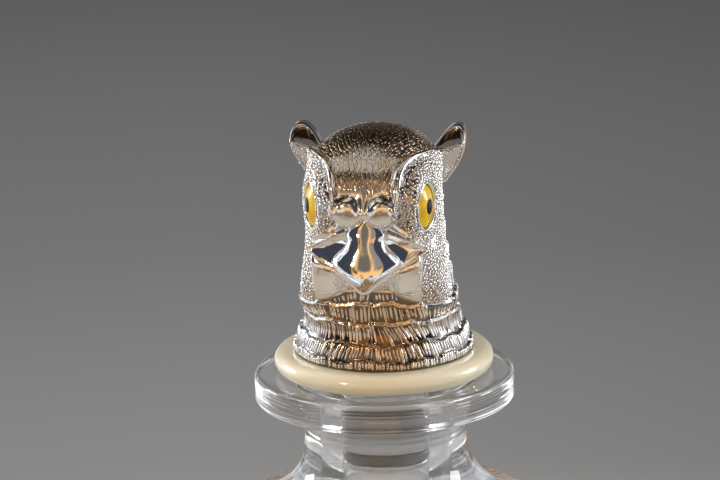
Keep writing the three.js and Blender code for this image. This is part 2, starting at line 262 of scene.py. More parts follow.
def grains_tree():
    """Scatters small rounded grains where an attribute allows, each laid along the surface's lie."""
    tree, given = start_tree("Grains over a surface", [
        ("Spacing", "NodeSocketFloat", 0.7 * MM), ("Crowding", "NodeSocketFloat", 4.0e6),
        ("Seed", "NodeSocketInt", 1), ("Smallest", "NodeSocketVector", (0.3 * MM,) * 3),
        ("Largest", "NodeSocketVector", (0.4 * MM,) * 3), ("Sway", "NodeSocketFloat", 0.5),
        ("Where", "NodeSocketString", "grained")])

    def chance(kind, low, high, seed=None):
        """A random value for each grain between two sockets."""
        links = {"Seed": seed} if seed else None
        node = add_node(tree, "FunctionNodeRandomValue", {"data_type": kind}, links)
        tree.links.new(low, socket_named(node.inputs, "Min"))
        tree.links.new(high, socket_named(node.inputs, "Max"))
        return socket_named(node.outputs, "Value")

    spread = add_node(tree, "GeometryNodeDistributePointsOnFaces", {"distribute_method": "POISSON"},
                      {"Mesh": given["Geometry"], "Distance Min": given["Spacing"],
                       "Density Max": given["Crowding"], "Density Factor": named_value(tree, given["Where"]),
                       "Seed": given["Seed"]})
    grain = add_node(tree, "GeometryNodeMeshUVSphere", links={"Segments": 8, "Rings": 4, "Radius": 1.0})
    facing = add_node(tree, "FunctionNodeAxesToRotation", {"primary_axis": "Z", "secondary_axis": "Y"},
                      {"Primary Axis": spread.outputs["Normal"],
                       "Secondary Axis": named_value(tree, "lie", "FLOAT_VECTOR")})
    sway = chance("FLOAT", add_math(tree, "MULTIPLY", given["Sway"], -1.0), given["Sway"], given["Seed"])
    twist = add_node(tree, "FunctionNodeAxisAngleToRotation", links={"Axis": (0, 0, 1), "Angle": sway})
    aimed = add_node(tree, "FunctionNodeRotateRotation", {"rotation_space": "LOCAL"},
                     {"Rotation": facing.outputs[0], "Rotate By": twist.outputs[0]})
    laid = add_node(tree, "GeometryNodeInstanceOnPoints",
                    links={"Points": spread.outputs["Points"], "Instance": grain.outputs["Mesh"],
                           "Rotation": aimed.outputs[0],
                           "Scale": chance("FLOAT_VECTOR", given["Smallest"], given["Largest"])})
    return finish_tree(tree, laid.outputs[0], given["Finish"])


def grow(name, source, tree, settings):
    """The plain mesh that the tree makes of the source, whose modifier is then removed."""
    modifier = source.modifiers.new("grow", "NODES")
    modifier.node_group = tree
    for item in tree.interface.items_tree:
        if item.item_type == "SOCKET" and item.in_out == "INPUT" and item.name in settings:
            modifier[item.identifier] = settings[item.name]
    ready = source.evaluated_get(bpy.context.evaluated_depsgraph_get())
    mesh = bpy.data.meshes.new_from_object(ready)
    mesh.name = name
    source.modifiers.remove(modifier)
    mesh.materials.clear()
    mesh.materials.append(settings["Finish"])
    mesh.polygons.foreach_set("material_index", [0] * len(mesh.polygons))
    return link_mesh(name, mesh)


def grow_from_lines(name, source_name, lines, tree, settings, numbers=None):
    """Grows a piece from lines of points, each closed where its first point is listed again at its end."""
    points, edges = [], []
    for line in lines:
        first = len(points)
        line = [tuple(p) for p in line]
        closed = len(line) > 2 and line[0] == line[-1]
        if closed:
            line = line[:-1]
        points += line
        edges += [(first + i, first + i + 1) for i in range(len(line) - 1)]
        if closed:
            edges.append((len(points) - 1, first))
    mesh = bpy.data.meshes.new(source_name)
    mesh.from_pydata((np.array(points) * MM).tolist(), edges, [])
    for label, values in (numbers or {}).items():
        set_values(mesh, label, values)
    source = link_mesh(source_name, mesh)
    piece = grow(name, source, tree, settings)
    bpy.data.objects.remove(source)
    bpy.data.meshes.remove(mesh)
    return piece


def turned(name, profile, finish, sides=128):
    """A turned piece from its profile of radius and height."""
    hub = 1.0
    section = [(radius - hub, -height, 0) for radius, height in profile]
    settings = {"Sides": sides, "Hub": hub * MM, "Finish": finish}
    return turn_outward(grow_from_lines(name, name + "_section", [section], TURNED, settings))


def barred(name, lines, girths, finish, sides=6):
    """Round bars along lines, with a girth for each point."""
    return grow_from_lines(name, name + "_lines", lines, BARBS, {"Sides": sides, "Finish": finish},
                           {"girth": np.array(girths) * MM})


def arc(centre, radius, start, end, steps=8):
    """Points of an arc between two angles in degrees."""
    angles = np.radians(np.linspace(start, end, steps + 1))
    return [(centre[0] + radius * math.cos(a), centre[1] + radius * math.sin(a)) for a in angles]


def rounded(corners, radius, steps=5):
    """An open outline with each inner corner rounded."""
    out = [corners[0]]
    for before, corner, after in zip(corners, corners[1:], corners[2:]):
        before, corner, after = (np.array(p, float) for p in (before, corner, after))
        back, on = before - corner, after - corner
        reach = min(radius, np.linalg.norm(back) * 0.45, np.linalg.norm(on) * 0.45)
        a = corner + back / np.linalg.norm(back) * reach
        b = corner + on / np.linalg.norm(on) * reach
        for t in np.linspace(0, 1, steps + 1):
            out.append(tuple((1 - t) ** 2 * a + 2 * t * (1 - t) * corner + t * t * b))
    return out + [corners[-1]]


def bend(outline, *spans):
    """Carries an outline on by a Bezier curve for each span, which holds two leads, an end and its steps."""
    for *leads, steps in spans:
        a, b, c, d = (np.array(p, float) for p in (outline[-1], *leads))
        t = np.linspace(0, 1, steps + 1)[1:, None]
        curve = (1 - t) ** 3 * a + 3 * (1 - t) ** 2 * t * b + 3 * (1 - t) * t * t * c + t ** 3 * d
        outline += [tuple(p) for p in curve]


TURNED = turned_tree()
BARBS = barbs_tree()
GRAINS = grains_tree()


# Shared effects

def start_group(name, inputs, outputs):
    group = bpy.data.node_groups.new(name, "ShaderNodeTree")
    for label, kind, value in inputs:
        socket = group.interface.new_socket(label, in_out="INPUT", socket_type="NodeSocket" + kind)
        socket.default_value = value
    for label, kind in outputs:
        group.interface.new_socket(label, in_out="OUTPUT", socket_type="NodeSocket" + kind)
    return group, group.nodes.new("NodeGroupInput").outputs, group.nodes.new("NodeGroupOutput").inputs


def polish_group():
    """Marks left by polishing: slow clouds and fine hairlines, as a change of roughness and a height."""
    group, given, result = start_group(
        "Hand polish", [("Position", "Vector", (0, 0, 0)), ("Roughness", "Float", 0.1),
                        ("Clouds", "Float", 0.05), ("Hairlines", "Float", 0.3)],
        [("Roughness", "Float"), ("Height", "Float")])
    cloud = add_math(group, "SUBTRACT", add_noise(group, given["Position"], 160.0, 4.0), 0.5)
    shift = add_math(group, "MULTIPLY", cloud, given["Clouds"])
    stretch = add_node(group, "ShaderNodeMapping",
                       links={"Vector": given["Position"], "Scale": (900.0, 900.0, 9000.0)})
    hair = add_noise(group, stretch.outputs[0], 1.0, 3.0)
    group.links.new(add_math(group, "ADD", shift, given["Roughness"], clamp=True), result["Roughness"])
    group.links.new(add_math(group, "MULTIPLY", hair, given["Hairlines"]), result["Height"])
    return group


def tarnish_and_shade_group():
    """Bright metal that darkens by a depth share, with a faint warm film in clouds. The share is patina where
    the work is deep, and painted shade at the crown's top.
    """
    group, given, result = start_group(
        "Tarnish and painted shade", [("Position", "Vector", (0, 0, 0)), ("Bright", "Color", (1, 1, 1, 1)),
                                ("Film", "Color", (1, 1, 1, 1)), ("Dark", "Color", (0, 0, 0, 1)),
                                ("Depth", "Float", 0.0)], [("Color", "Color")])
    film = add_blend(group, given["Bright"], given["Film"], add_noise(group, given["Position"], 90.0, 5.0))
    group.links.new(add_blend(group, film, given["Dark"], given["Depth"]), result["Color"])
    return group


POLISH = polish_group()
TARNISH_AND_SHADE = tarnish_and_shade_group()


# Finishes

def start_finish(name, color, metallic=0.0, roughness=0.5, **sockets):
    """A material with its Principled BSDF, and the Object coordinates that its patterns read."""
    finish = bpy.data.materials.new(name)
    finish.use_nodes = True
    tree = finish.node_tree
    shader = tree.nodes["Principled BSDF"].inputs
    shader["Base Color"].default_value = (*color, 1)
    shader["Metallic"].default_value = metallic
    shader["Roughness"].default_value = roughness
    for key, value in sockets.items():
        shader[key.replace("_", " ")].default_value = value
    place = add_node(tree, "ShaderNodeTexCoord").outputs["Object"]
    return finish, tree, shader, place


def raise_grain(tree, shader, height, strength, depth):
    """Bumps the finish by a height. depth is the bump's height in millimetres."""
    bump = add_node(tree, "ShaderNodeBump",
                    links={"Height": height, "Strength": strength, "Distance": depth * MM})
    tree.links.new(bump.outputs[0], shader["Normal"])


def use_polish(tree, shader, place, roughness, clouds, hairlines, strength):
    polish = add_node(tree, "ShaderNodeGroup", {"node_tree": POLISH},
                      {"Position": place, "Roughness": roughness, "Clouds": clouds, "Hairlines": hairlines})
    raise_grain(tree, shader, polish.outputs["Height"], strength, 0.02)
    tree.links.new(polish.outputs["Roughness"], shader["Roughness"])


# Where painted reflection and painted shade tint the silver, in metres: each pair runs from where it begins
# to its full depth
PAINTED_GOLD_WIDTH, PAINTED_GOLD_FRONT, PAINTED_GOLD_HEIGHT = (0.0175, 0.008), (-0.01, -0.018), (0.1815, 0.176)
PAINTED_GOLD_SHARE, PAINTED_GOLD_TINT = 0.8, (0.88, 0.65, 0.42)
# Painted shade: the crown's strokes darken towards the top for the dim room the crown reflects.
CROWN_PAINTED_SHADE_HEIGHT, CROWN_PAINTED_SHADE_SHARE = (0.2126, 0.2156), 0.74


def painted_gold_mask(tree, place):
    """1 low on the front of the neck, where the silver gets a painted gold reflection of the warm room in
    front, and 0 elsewhere.
    """
    spot = add_axes(tree, place)
    width = add_math(tree, "ABSOLUTE", spot["X"])
    mask = PAINTED_GOLD_SHARE
    for value, span in ((width, PAINTED_GOLD_WIDTH), (spot["Y"], PAINTED_GOLD_FRONT), (spot["Z"], PAINTED_GOLD_HEIGHT)):
        mask = add_math(tree, "MULTIPLY", add_window(tree, value, *span), mask)
    return mask


def silver(name, bright, film, roughness, worked=False, crowned=False, painted_gold_front=False):
    """Silver, darkened where the mesh says it is worked deep, or with painted shade towards the top of the
    crown.
    """
    finish, tree, shader, place = start_finish(name, bright, 1.0, roughness)
    depth = 0.0
    if worked:
        # On the head the worked attribute also carries painted shade towards the crown's top.
        depth = add_node(tree, "ShaderNodeAttribute", {"attribute_name": "worked"}).outputs["Fac"]
    if crowned:
        # painted shade, darker towards the crown's top
        height = add_axes(tree, place)["Z"]
        depth = add_range(tree, height, *CROWN_PAINTED_SHADE_HEIGHT, 0.0, CROWN_PAINTED_SHADE_SHARE, "SMOOTHSTEP")
    tarnish_and_shade = add_node(tree, "ShaderNodeGroup", {"node_tree": TARNISH_AND_SHADE},
                       {"Position": place, "Bright": (*bright, 1), "Film": (*film, 1),
                        "Dark": (*SILVER_DARK, 1), "Depth": depth})
    color = tarnish_and_shade.outputs["Color"]
    # Painted reflection: the neck's front is tinted gold for the warm room it reflects.
    if painted_gold_front:
        color = add_blend(tree, color, PAINTED_GOLD_TINT, painted_gold_mask(tree, place), "MULTIPLY")
    tree.links.new(color, shader["Base Color"])
    use_polish(tree, shader, place, roughness, 0.06, 0.4, 0.25)
    return finish


def clear_glass_finish():
    finish, tree, shader, place = start_finish("clear_glass", (0.97, 0.985, 0.995), 0.0, 0.0,
                                               Transmission_Weight=0.9, IOR=1.46)
    raise_grain(tree, shader, add_noise(tree, place, 14.0, 1.0), 0.05, 0.4)
    haze = add_range(tree, add_noise(tree, place, 40.0, 3.0), 0.45, 0.8, 0.0, 0.02)
    tree.links.new(haze, shader["Roughness"])
    return finish


def cream_resin_finish():
    finish, tree, shader, place = start_finish("cream_resin", (0.86, 0.79, 0.68), 0.0, 0.2,
                                               Coat_Weight=0.6, Coat_Roughness=0.06, Subsurface_Weight=0.15,
                                               Subsurface_Scale=0.002)
    cloud = add_noise(tree, place, 55.0, 5.0)
    tint = add_ramp(tree, cloud, (0.35, (0.84, 0.775, 0.58)), (0.65, (0.88, 0.84, 0.68)))
    tree.links.new(tint, shader["Base Color"])
    use_polish(tree, shader, place, 0.2, 0.12, 0.3, 0.15)
    return finish


def steel_finish():
    finish, tree, shader, place = start_finish("polished_steel", (0.6, 0.6, 0.61), 1.0, 0.1)
    use_polish(tree, shader, place, 0.1, 0.08, 0.5, 0.3)
    return finish


def rubber_finish():
    finish, tree, shader, place = start_finish("seal_rubber", (0.012, 0.012, 0.013), 0.0, 0.35)
    grain = add_noise(tree, place, 2500.0, 2.0)
    raise_grain(tree, shader, grain, 0.2, 0.03)
    tree.links.new(add_range(tree, grain, 0.0, 1.0, 0.28, 0.5), shader["Roughness"])
    return finish


def enamel_finish(name, pale, deep, spread, sheen):
    """Glossy enamel, darker in slow clouds, which are finer the larger the spread."""
    finish, tree, shader, place = start_finish(name, pale, 0.0, 0.12, IOR=sheen)
    cloud = add_noise(tree, place, spread, 4.0)
    tree.links.new(add_ramp(tree, cloud, (0.3, deep), (0.62, pale)), shader["Base Color"])
    tree.links.new(add_range(tree, cloud, 0.0, 1.0, 0.06, 0.2), shader["Roughness"])
    return finish


SILVER_BRIGHT = (0.93, 0.93, 0.935)
SILVER_FILM = (0.86, 0.845, 0.82)
SILVER_DARK = (0.085, 0.06, 0.043)
chased_silver = silver("chased_silver", SILVER_BRIGHT, SILVER_FILM, 0.15, worked=True, painted_gold_front=True)
raised_silver = silver("raised_silver", SILVER_BRIGHT, SILVER_FILM, 0.13, painted_gold_front=True)
# Painted reflection: the crown's strokes are tinted warm for the warm room in front that they reflect, and
# they darken to painted shade at the top.
painted_warm_silver = silver("crown_silver_painted_warm_and_shade", (0.9, 0.78, 0.62), (0.76, 0.6, 0.44), 0.15, crowned=True)
polished_silver = silver("polished_silver", (0.94, 0.94, 0.945), (0.9, 0.885, 0.865), 0.055)
clear_glass = clear_glass_finish()
cream_resin = cream_resin_finish()
polished_steel = steel_finish()
seal_rubber = rubber_finish()
yellow_enamel = enamel_finish("yellow_enamel", (0.86, 0.6, 0.008), (0.72, 0.4, 0.004), 420.0, 1.45)
black_enamel = enamel_finish("black_enamel", (0.008, 0.008, 0.01), (0.004, 0.004, 0.005), 300.0, 1.25)


# The head's surface

# Level sections of the head: height over its foot, half width, front and back from the axis,
# place of the widest point, and how square the front is.
HEAD_ROWS = np.array([
    [0, 22, 22, 22, 0, 2], [4.2, 20.6, 20.7, 20.6, 0, 2], [9.2, 18.7, 19, 18.8, 1, 2],
    [14.7, 19.2, 19.6, 18.4, 8, 2.3],
    [20.7, 18.4, 20.8, 19.2, 12, 2.6], [28.7, 16.8, 22, 20.8, 11, 2.6], [36.7, 16.3, 23.4, 21.4, 11, 2.6],
    [43.2, 16, 24.4, 20.8, 10, 2.6], [48.2, 15.4, 22.2, 19, 8, 2.5], [51.9, 13.2, 17.6, 15.6, 5, 2.3],
    [54.4, 9.2, 12, 11, 2, 2], [55.6, 4.6, 5.8, 5.8, 0, 2], [55.9, 0, 0, 0, 0, 2]])
HEAD_TABLE = through(HEAD_ROWS, 40)
HEAD_TOP = 55.88
CROWN_LEAN, CROWN_DROP = 1.0, 0.5
CROWN_FOOT, CROWN_END = 45, 56
WIDEST_REACH, HALVINGS = 40.0, 28
DEGREE = 0.36  # millimetres over the skin for a degree of bearing


def section_at(height):
    return [np.interp(height, HEAD_TABLE[:, 0], HEAD_TABLE[:, column]) for column in range(1, 6)]


def bare_head(turn, height):
    """Points of the head's plain form at a bearing in degrees from the beak, and a height over its foot."""
    turn, height = np.broadcast_arrays(np.asarray(turn, float), np.asarray(height, float))
    side, front, back, middle, square = section_at(height)
    side = np.maximum(side, 0.02)
    sine, cosine = np.sin(np.radians(turn)), np.cos(np.radians(turn))
    low, high = np.zeros_like(height), np.full_like(height, WIDEST_REACH)
    for _ in range(HALVINGS):
        reach = (low + high) / 2
        ahead = reach * cosine - middle
        power = np.where(ahead > 0, square, 2.0)
        depth = np.maximum(np.where(ahead > 0, front - middle, back + middle), 0.02)
        inside = np.abs(reach * sine / side) ** power + np.abs(ahead / depth) ** power < 1
        low, high = np.where(inside, reach, low), np.where(inside, high, reach)
    crown = smooth_step(CROWN_FOOT, CROWN_END, height)
    across, up = low * sine - CROWN_LEAN * crown, HEAD_FOOT + height - CROWN_DROP * crown
    return np.stack([across, -low * cosine, up], -1)


def head_normal(turn, height):
    """Which way the plain form faces, from points a little to each side, above and below."""
    aside, apart = 0.6, 0.12
    across = bare_head(turn + aside, height) - bare_head(turn - aside, height)
    above, below = (np.clip(height + step, 0, HEAD_TOP) for step in (apart, -apart))
    normal = np.cross(across, bare_head(turn, above) - bare_head(turn, below))
    length = np.linalg.norm(normal, axis=-1, keepdims=True)
    upright = smooth_step(55.2, 55.7, np.asarray(height, float))[..., None]
    normal = normal / np.maximum(length, 1e-9) * (1 - upright) + np.array([0, 0, 1.0]) * upright
    return normal / np.linalg.norm(normal, axis=-1, keepdims=True)


def gap_to(curve, turn, height):
    """Distance in millimetres over the surface to a curve of bearings and heights."""
    flat = np.stack([np.ravel(turn) * DEGREE, np.ravel(height)], -1)
    line = np.asarray(curve) * [DEGREE, 1]
    best = np.full(len(flat), 1e9)
    for a, b in zip(line[:-1], line[1:]):
        run = b - a
        along = np.clip(((flat - a) @ run) / max(run @ run, 1e-9), 0, 1)
        best = np.minimum(best, np.linalg.norm(flat - a - along[:, None] * run, axis=1))
    return best.reshape(np.shape(turn))


def inside_of(curve, turn, height):
    """True where a bearing and height lie inside a closed curve."""
    x, y = np.ravel(turn), np.ravel(height)
    crossed = np.zeros(len(x), bool)
    for (x0, y0), (x1, y1) in zip(curve, np.roll(curve, -1, 0)):
        if y0 == y1:
            continue
        hit = (y0 > y) != (y1 > y)
        crossed ^= hit & (x < (x1 - x0) * (y - y0) / (y1 - y0) + x0)
    return crossed.reshape(np.shape(turn))


def depth_in(curve, turn, height):
    """Distance from a closed curve, positive inside it."""
    gap = gap_to(np.vstack([curve, curve[:1]]), turn, height)
    return np.where(inside_of(curve, turn, height), gap, -gap)


# The pebbled face on one side: from the brow round the eye, down to the cheek and back along the gape.
FACE = through([
    (17, 43.3), (18.5, 46.2), (22, 48.7), (30, 50.3), (42, 51), (58, 50.9), (75, 49.9), (92, 48.4), (101, 45),
    (103, 38), (99, 30), (90, 23), (76, 18), (62, 15.6), (48, 14.8), (39, 15.6), (36.5, 19), (36.5, 24),
    (37, 28), (38.5, 30.2), (35, 32), (28.5, 33.8), (22, 35.2), (17.5, 36.6), (15.8, 39), (16, 41.5)],
    6, closed=True)
RIGHT_PINCH = 0.13


def face_bearing(turn):
    """Bearing at which a point looks up the face's curves. The right side's are closer to the beak."""
    a = np.abs(turn)
    return np.where(turn > 0, a * (1 + RIGHT_PINCH * (1 - smooth_step(30, 56, a))), a)


BROW = through([
    (17.2, 38.5), (16.8, 41), (17, 43.3), (18.5, 46.2), (22, 48.7), (30, 50.3), (42, 51), (58, 50.9),
    (75, 50), (88, 48.9)], 8)
FEATHER_EDGES = np.array([0, 2.2, 6.2, 11.4, 16.6, 21.8, 27, 32.2, 37.4, 42.4, 46.8])
FEATHER_SPAN = 30.0  # degrees of bearing
FEATHER_RISE = 0.68


# Lean of the barbs in degrees, positive to the right, for each row from the foot, at these bearings
LEAN_BEARINGS = [-180, -60, -25, -3, 3, 12, 30, 50, 180]
BARB_LEAN = [
    [0, -6, -4, 0, 2, 4, 8, 10, 0],
    [0, -24, -26, -12, 4, 10, 18, 20, 0],
    [0, -8, 2, 9, 16, 32, 30, 20, 0],
    [0, -10, -4, 0, 4, 10, 20, 16, 0],
    [0, 0, 0, 0, 0, 0, 0, 0, 0]]


def feather_place(turn, row):
    """Place across the feather at a bearing, from 0 to 1. The rows at the back are staggered."""
    shift = np.where((row > 3) & (row % 2 == 0), 0.5, 0.0)
    return np.mod(turn / FEATHER_SPAN + shift, 1)


def feather_edge(turn, row):
    """Height of the edge between two rows of feathers."""
    row = np.clip(row, 0, len(FEATHER_EDGES) - 1)
    place = feather_place(turn, row)
    depth = np.where(row == 0, 0, np.where(row <= 4, 0.55, 1.5))
    wave = np.radians(turn)
    ragged = sum(high * np.sin(count * wave + shift * row)
                 for high, count, shift in ((0.3, 7, 1.9), (0.22, 17, 4.1), (0.12, 41, 2.3)))
    scallop = depth * (4 * place * (1 - place)) - 0.35 * depth
    return FEATHER_EDGES[row] - scallop + np.where(row == 0, 0, ragged)


def feather_row(turn, height):
    """Row number and place down the feather, from 0 at its root to 1 at its tip."""
    row = np.zeros(np.shape(height), int)
    for number in range(1, len(FEATHER_EDGES)):
        row = np.where(height > feather_edge(turn, np.full(np.shape(height), number)), number, row)
    bottom, top = feather_edge(turn, row), feather_edge(turn, row + 1)
    return row, np.clip((top - height) / np.maximum(top - bottom, 0.1), 0, 1)


def feathered(turn, height):
    """1 where the surface has feather rows, 0 on the face, the jaw and the crown."""
    a = face_bearing(turn)
    face = depth_in(FACE, a, height)
    top = np.where(a < 37, np.interp(a, [0, 16, 26, 37], [19.6, 19.4, 17.4, 16.4]), 46.5)
    over_brow = (a > 38) & (a < 92) & (height > 42)
    return smooth_step(-0.25, 0.35, -face) * smooth_step(-0.4, 0.3, top - height) * np.where(over_brow, 0, 1)


CERE_SHIFT = 0.35  # the lobes and nostrils stand a little to the left
LOBE_ACROSS, LOBE_HEIGHT, LOBE_HALF_WIDTH, LOBE_HALF_HEIGHT, LOBE_RISE = 3.8, 39.7, 3.8, 3.9, 2.8
BRIDGE_HEIGHT, BRIDGE_RISE = 40.2, 2.5
NOSTRIL_ACROSS, NOSTRIL_HEIGHT, NOSTRIL_HALF_LENGTH, NOSTRIL_SLIMNESS = 5.3, 43.1, 2.2, 4.4


def cere(turn, height):
    """Height of the two lobes over the beak, and how far a point is in a nostril."""
    spot = bare_head(turn, height)
    across, up = np.abs(spot[..., 0] + CERE_SHIFT), spot[..., 2] - HEAD_FOOT
    ahead = smooth_step(10, 20, -spot[..., 1])
    out, over = across - LOBE_ACROSS, up - LOBE_HEIGHT
    away = (out / LOBE_HALF_WIDTH) ** 2 + ((over - 0.14 * out) / LOBE_HALF_HEIGHT) ** 2
    lobe = LOBE_RISE * np.clip(1 - away ** 1.5, 0, 1) ** 0.6 * ahead
    bridge = BRIDGE_RISE * bell(across, 0, 1.5) * bell(up, BRIDGE_HEIGHT, 2.6) * ahead
    out, over = across - NOSTRIL_ACROSS, up - NOSTRIL_HEIGHT
    along, beside = out * 0.9 - over * 0.43, over * 0.9 + out * 0.43
    nostril = smooth_step(NOSTRIL_HALF_LENGTH, 1.3, np.hypot(along, beside * NOSTRIL_SLIMNESS)) * ahead
    return np.maximum(lobe, bridge), nostril


EYE_FORWARD, EYE_HEIGHT = 18.8, 40.2
EYE_ACROSS = {1: 13.3, -1: 13.5}  # the right eye's place and turn, seen from the front, then the left's
EYE_TURN = {1: math.radians(72), -1: math.radians(63)}
EYE_SLIMNESS = 0.8
EYE_RADIUS = 5.3


def of_side(turn, right, left):
    """One value where the bearing is on the right side, and the other on the left."""
    return np.where(np.asarray(turn) < 0, left, right)


def eye_centre(turn):
    across = of_side(turn, EYE_ACROSS[1], -EYE_ACROSS[-1])
    back, up = (np.full_like(across, value) for value in (-EYE_FORWARD, HEAD_FOOT + EYE_HEIGHT))
    return np.stack([across, back, up], -1)


def feather_step(turn, height):
    """How far a feather's tip stands over the next row's root, less the seams between feathers."""
    row, down = feather_row(turn, height)
    place = feather_place(turn, row)
    seam = np.minimum(place, 1 - place) * FEATHER_SPAN * DEGREE
    tip = FEATHER_RISE * (1 - down) * smooth_step(0, 0.13, down)
    step = tip - 0.25 * bell(seam, 0, 0.3) - 0.45 * bell(turn * DEGREE, 0, 0.5)
    return np.where(height < 0.3, 0, step)


def relief(turn, height):
    """How far the worked surface stands over the plain form, in millimetres."""
    a = face_bearing(turn)
    face, brow = depth_in(FACE, a, height), gap_to(BROW, a, height)
    face_step = 0.25 * smooth_step(-0.3, 0.5, face)
    temple = 0.5 * smooth_step(0.4, 2.2, face) * smooth_step(44, 48, height)
    throat = 0.75 * bell(height, 19, 6) * smooth_step(34, 44, a) * (1 - smooth_step(80, 100, a))
    brow_rim = 0.85 * bell(brow, 0, 0.62) * smooth_step(38, 40.5, height)
    under_brow = 1.25 * (1 - smooth_step(0, 6.5, brow)) * smooth_step(-0.3, 0.3, face)
    cheek = 0.45 * bell(a, 46, 9) * bell(height, 18.5, 3.4) * smooth_step(-0.2, 0.6, face)
    lobes, nostril = cere(turn, height)
    crown = 0.22 * smooth_step(50, 54, height)
    plumage = feathered(turn, height) * feather_step(turn, height)
    raised = brow_rim + under_brow * smooth_step(37, 41, height) + cheek + lobes + plumage
    return beside_eye(turn, height, raised - face_step - temple - throat - nostril - crown)[0]


def beside_eye(turn, height, lift):
    """The lift where the skin swells to meet the bezel, and the distance from the eye's axis."""
    bare, normal = bare_head(turn, height) - eye_centre(turn), head_normal(turn, height)
    sine = of_side(turn, math.sin(EYE_TURN[1]), -math.sin(EYE_TURN[-1]))
    cosine = of_side(turn, math.cos(EYE_TURN[1]), math.cos(EYE_TURN[-1]))
    out = np.stack([sine, -cosine, np.zeros_like(sine)], -1)
    along = np.stack([cosine, sine, np.zeros_like(sine)], -1)
    facing = (normal * out).sum(-1)
    level = (bare * out).sum(-1)
    raised = lift
    for _ in range(4):
        spot = bare + normal * raised[..., None]
        ring = np.hypot((spot * along).sum(-1) / EYE_SLIMNESS, spot[..., 2])
        socket = -1.2 + 1.8 * smooth_step(4.9, 5.6, ring) - 0.55 * smooth_step(6.4, 9.5, ring)
        blend = (1 - smooth_step(6.6, 12.5, ring)) * smooth_step(0.15, 0.4, facing)
        raised = lift * (1 - blend) + blend * np.clip((socket - level) / np.maximum(facing, 0.4), -3.0, 5.0)
    return raised, ring


def head_skin(turn, height, rise, worked=True):
    """Points at a rise over the head's surface, over the worked one or over the plain form."""
    lift = relief(turn, height) + rise if worked else np.full(np.shape(height), rise)
    return bare_head(turn, height) + head_normal(turn, height) * lift[..., None]


GRAIN_LIE = (0, 0.25, 1)


def head_heights(count):
    """Heights spaced evenly along the head's profile."""
    heights = np.linspace(0, HEAD_TOP, 2000)
    profile = (bare_head(0.0, heights) + bare_head(180.0, heights) * [1, -1, 1])[:, 1:] / 2
    length = np.r_[0, np.cumsum(np.linalg.norm(np.diff(profile, axis=0), axis=1))]
    return np.interp(np.linspace(0, length[-1], count), length, heights)


def head_marks(turn, height):
    """How deep the skin is worked, with painted shade towards the crown's top, and where it is grained and
    crowned, each from 0 to 1.
    """
    face = depth_in(FACE, face_bearing(turn), height)
    plumage = feathered(turn, height)
    crown_line = height + 0.08 * np.maximum(0, face_bearing(turn) - 30)
    crown = smooth_step(-0.3, 0.3, -face) * smooth_step(44.2, 45.2, crown_line) * (1 - plumage)
    ledge = smooth_step(0.16, 0.1, feather_row(turn, height)[1])
    eye_ring = beside_eye(turn, height, relief(turn, height))[1]
    grained = smooth_step(0.25, 0.5, face) * (eye_ring > 6.3)
    # Partly patina and partly painted shade: a light patina on the crown, darkening towards its top for the
    # dim room it reflects.
    crown_patina_and_shade = 0.1 + 0.25 * smooth_step(47, 49, height) + 0.5 * smooth_step(52.5, 54.8, height)
    worked = np.maximum.reduce([0.58 * smooth_step(0, 0.5, face), 0.85 * plumage * (1 - ledge),
                                crown_patina_and_shade * crown, cere(turn, height)[1]])
    return {"worked": np.clip(worked, 0, 1), "grained": grained, "crowned": crown}


def head_mesh():
    """The head as a closed shell, open below, with its worked and grained places as attributes."""
    columns, rings, inner_rings, wall = 340, 226, 16, 3.0
    turns = np.arange(columns) * 360 / columns - 180
    turn, height = np.meshgrid(turns, head_heights(rings))
    outer = head_skin(turn, height, 0.0)
    outer[0, :, 2] = HEAD_FOOT
    inner = bare_head(*np.meshgrid(turns, np.linspace(HEAD_TOP - 3 * wall, 0, inner_rings)))
    shrink = 1 - wall / np.maximum(np.hypot(inner[..., 0], inner[..., 1]), wall + 1)
    inner[..., :2] *= shrink[..., None]
    top = [[-CROWN_LEAN, 0, HEAD_FOOT + HEAD_TOP - CROWN_DROP]]
    inner_top = [[0, 0, HEAD_FOOT + HEAD_TOP - 2.5 * wall]]
    points = np.vstack([outer[:-1].reshape(-1, 3), top, inner.reshape(-1, 3), inner_top])

    pole = (rings - 1) * columns
    last, first_inner, inner_pole = pole - columns, pole + 1, len(points) - 1
    foot = first_inner + (inner_rings - 1) * columns
    around = [(c, (c + 1) % columns) for c in range(columns)]
    faces = ring_faces(rings - 1, columns)
    faces += [(last + c, last + after, pole) for c, after in around]
    faces += ring_faces(inner_rings, columns, first_inner)
    faces += [(inner_pole, first_inner + after, first_inner + c) for c, after in around]
    faces += [(foot + c, foot + after, after, c) for c, after in around]

    spare = np.zeros(len(points) - pole)
    marks = head_marks(turn[:-1].ravel(), height[:-1].ravel())
    numbers = {label: np.r_[values, spare] for label, values in marks.items()}
    piece = add_mesh("silver_head", points, faces, chased_silver, numbers)
    lie = np.zeros((len(points), 3))
    lie[:pole] = np.stack([0.06 * points[:pole, 0], np.full(pole, 1.0), np.full(pole, 0.75)], -1)
    lie[:pole][marks["grained"] > 0] = GRAIN_LIE
    set_values(piece.data, "lie", lie, "FLOAT_VECTOR")
    return piece


def eye_frame(side):
    """Places a piece that was turned on the Z axis at an eye, with +Z looking out."""
    outward = Vector((side * math.sin(EYE_TURN[side]), -math.cos(EYE_TURN[side]), 0))
    upward = Vector((0, 0, 1))
    along = upward.cross(outward)
    turn = Matrix((along * EYE_SLIMNESS, upward, outward)).transposed().to_4x4()
    middle = Vector((side * EYE_ACROSS[side], -EYE_FORWARD, HEAD_FOOT + EYE_HEIGHT)) * MM
    return Matrix.Translation(middle) @ turn


# Pieces of the head

BARB_PITCH, BARB_GIRTH, BARB_SUNK = 0.84, 0.52, 0.38
BARB_SHAPE = np.array([0.7, 0.93, 1.0, 1.02, 1.04, 1.02, 0.95, 0.72])  # share of the girth, from root to tip


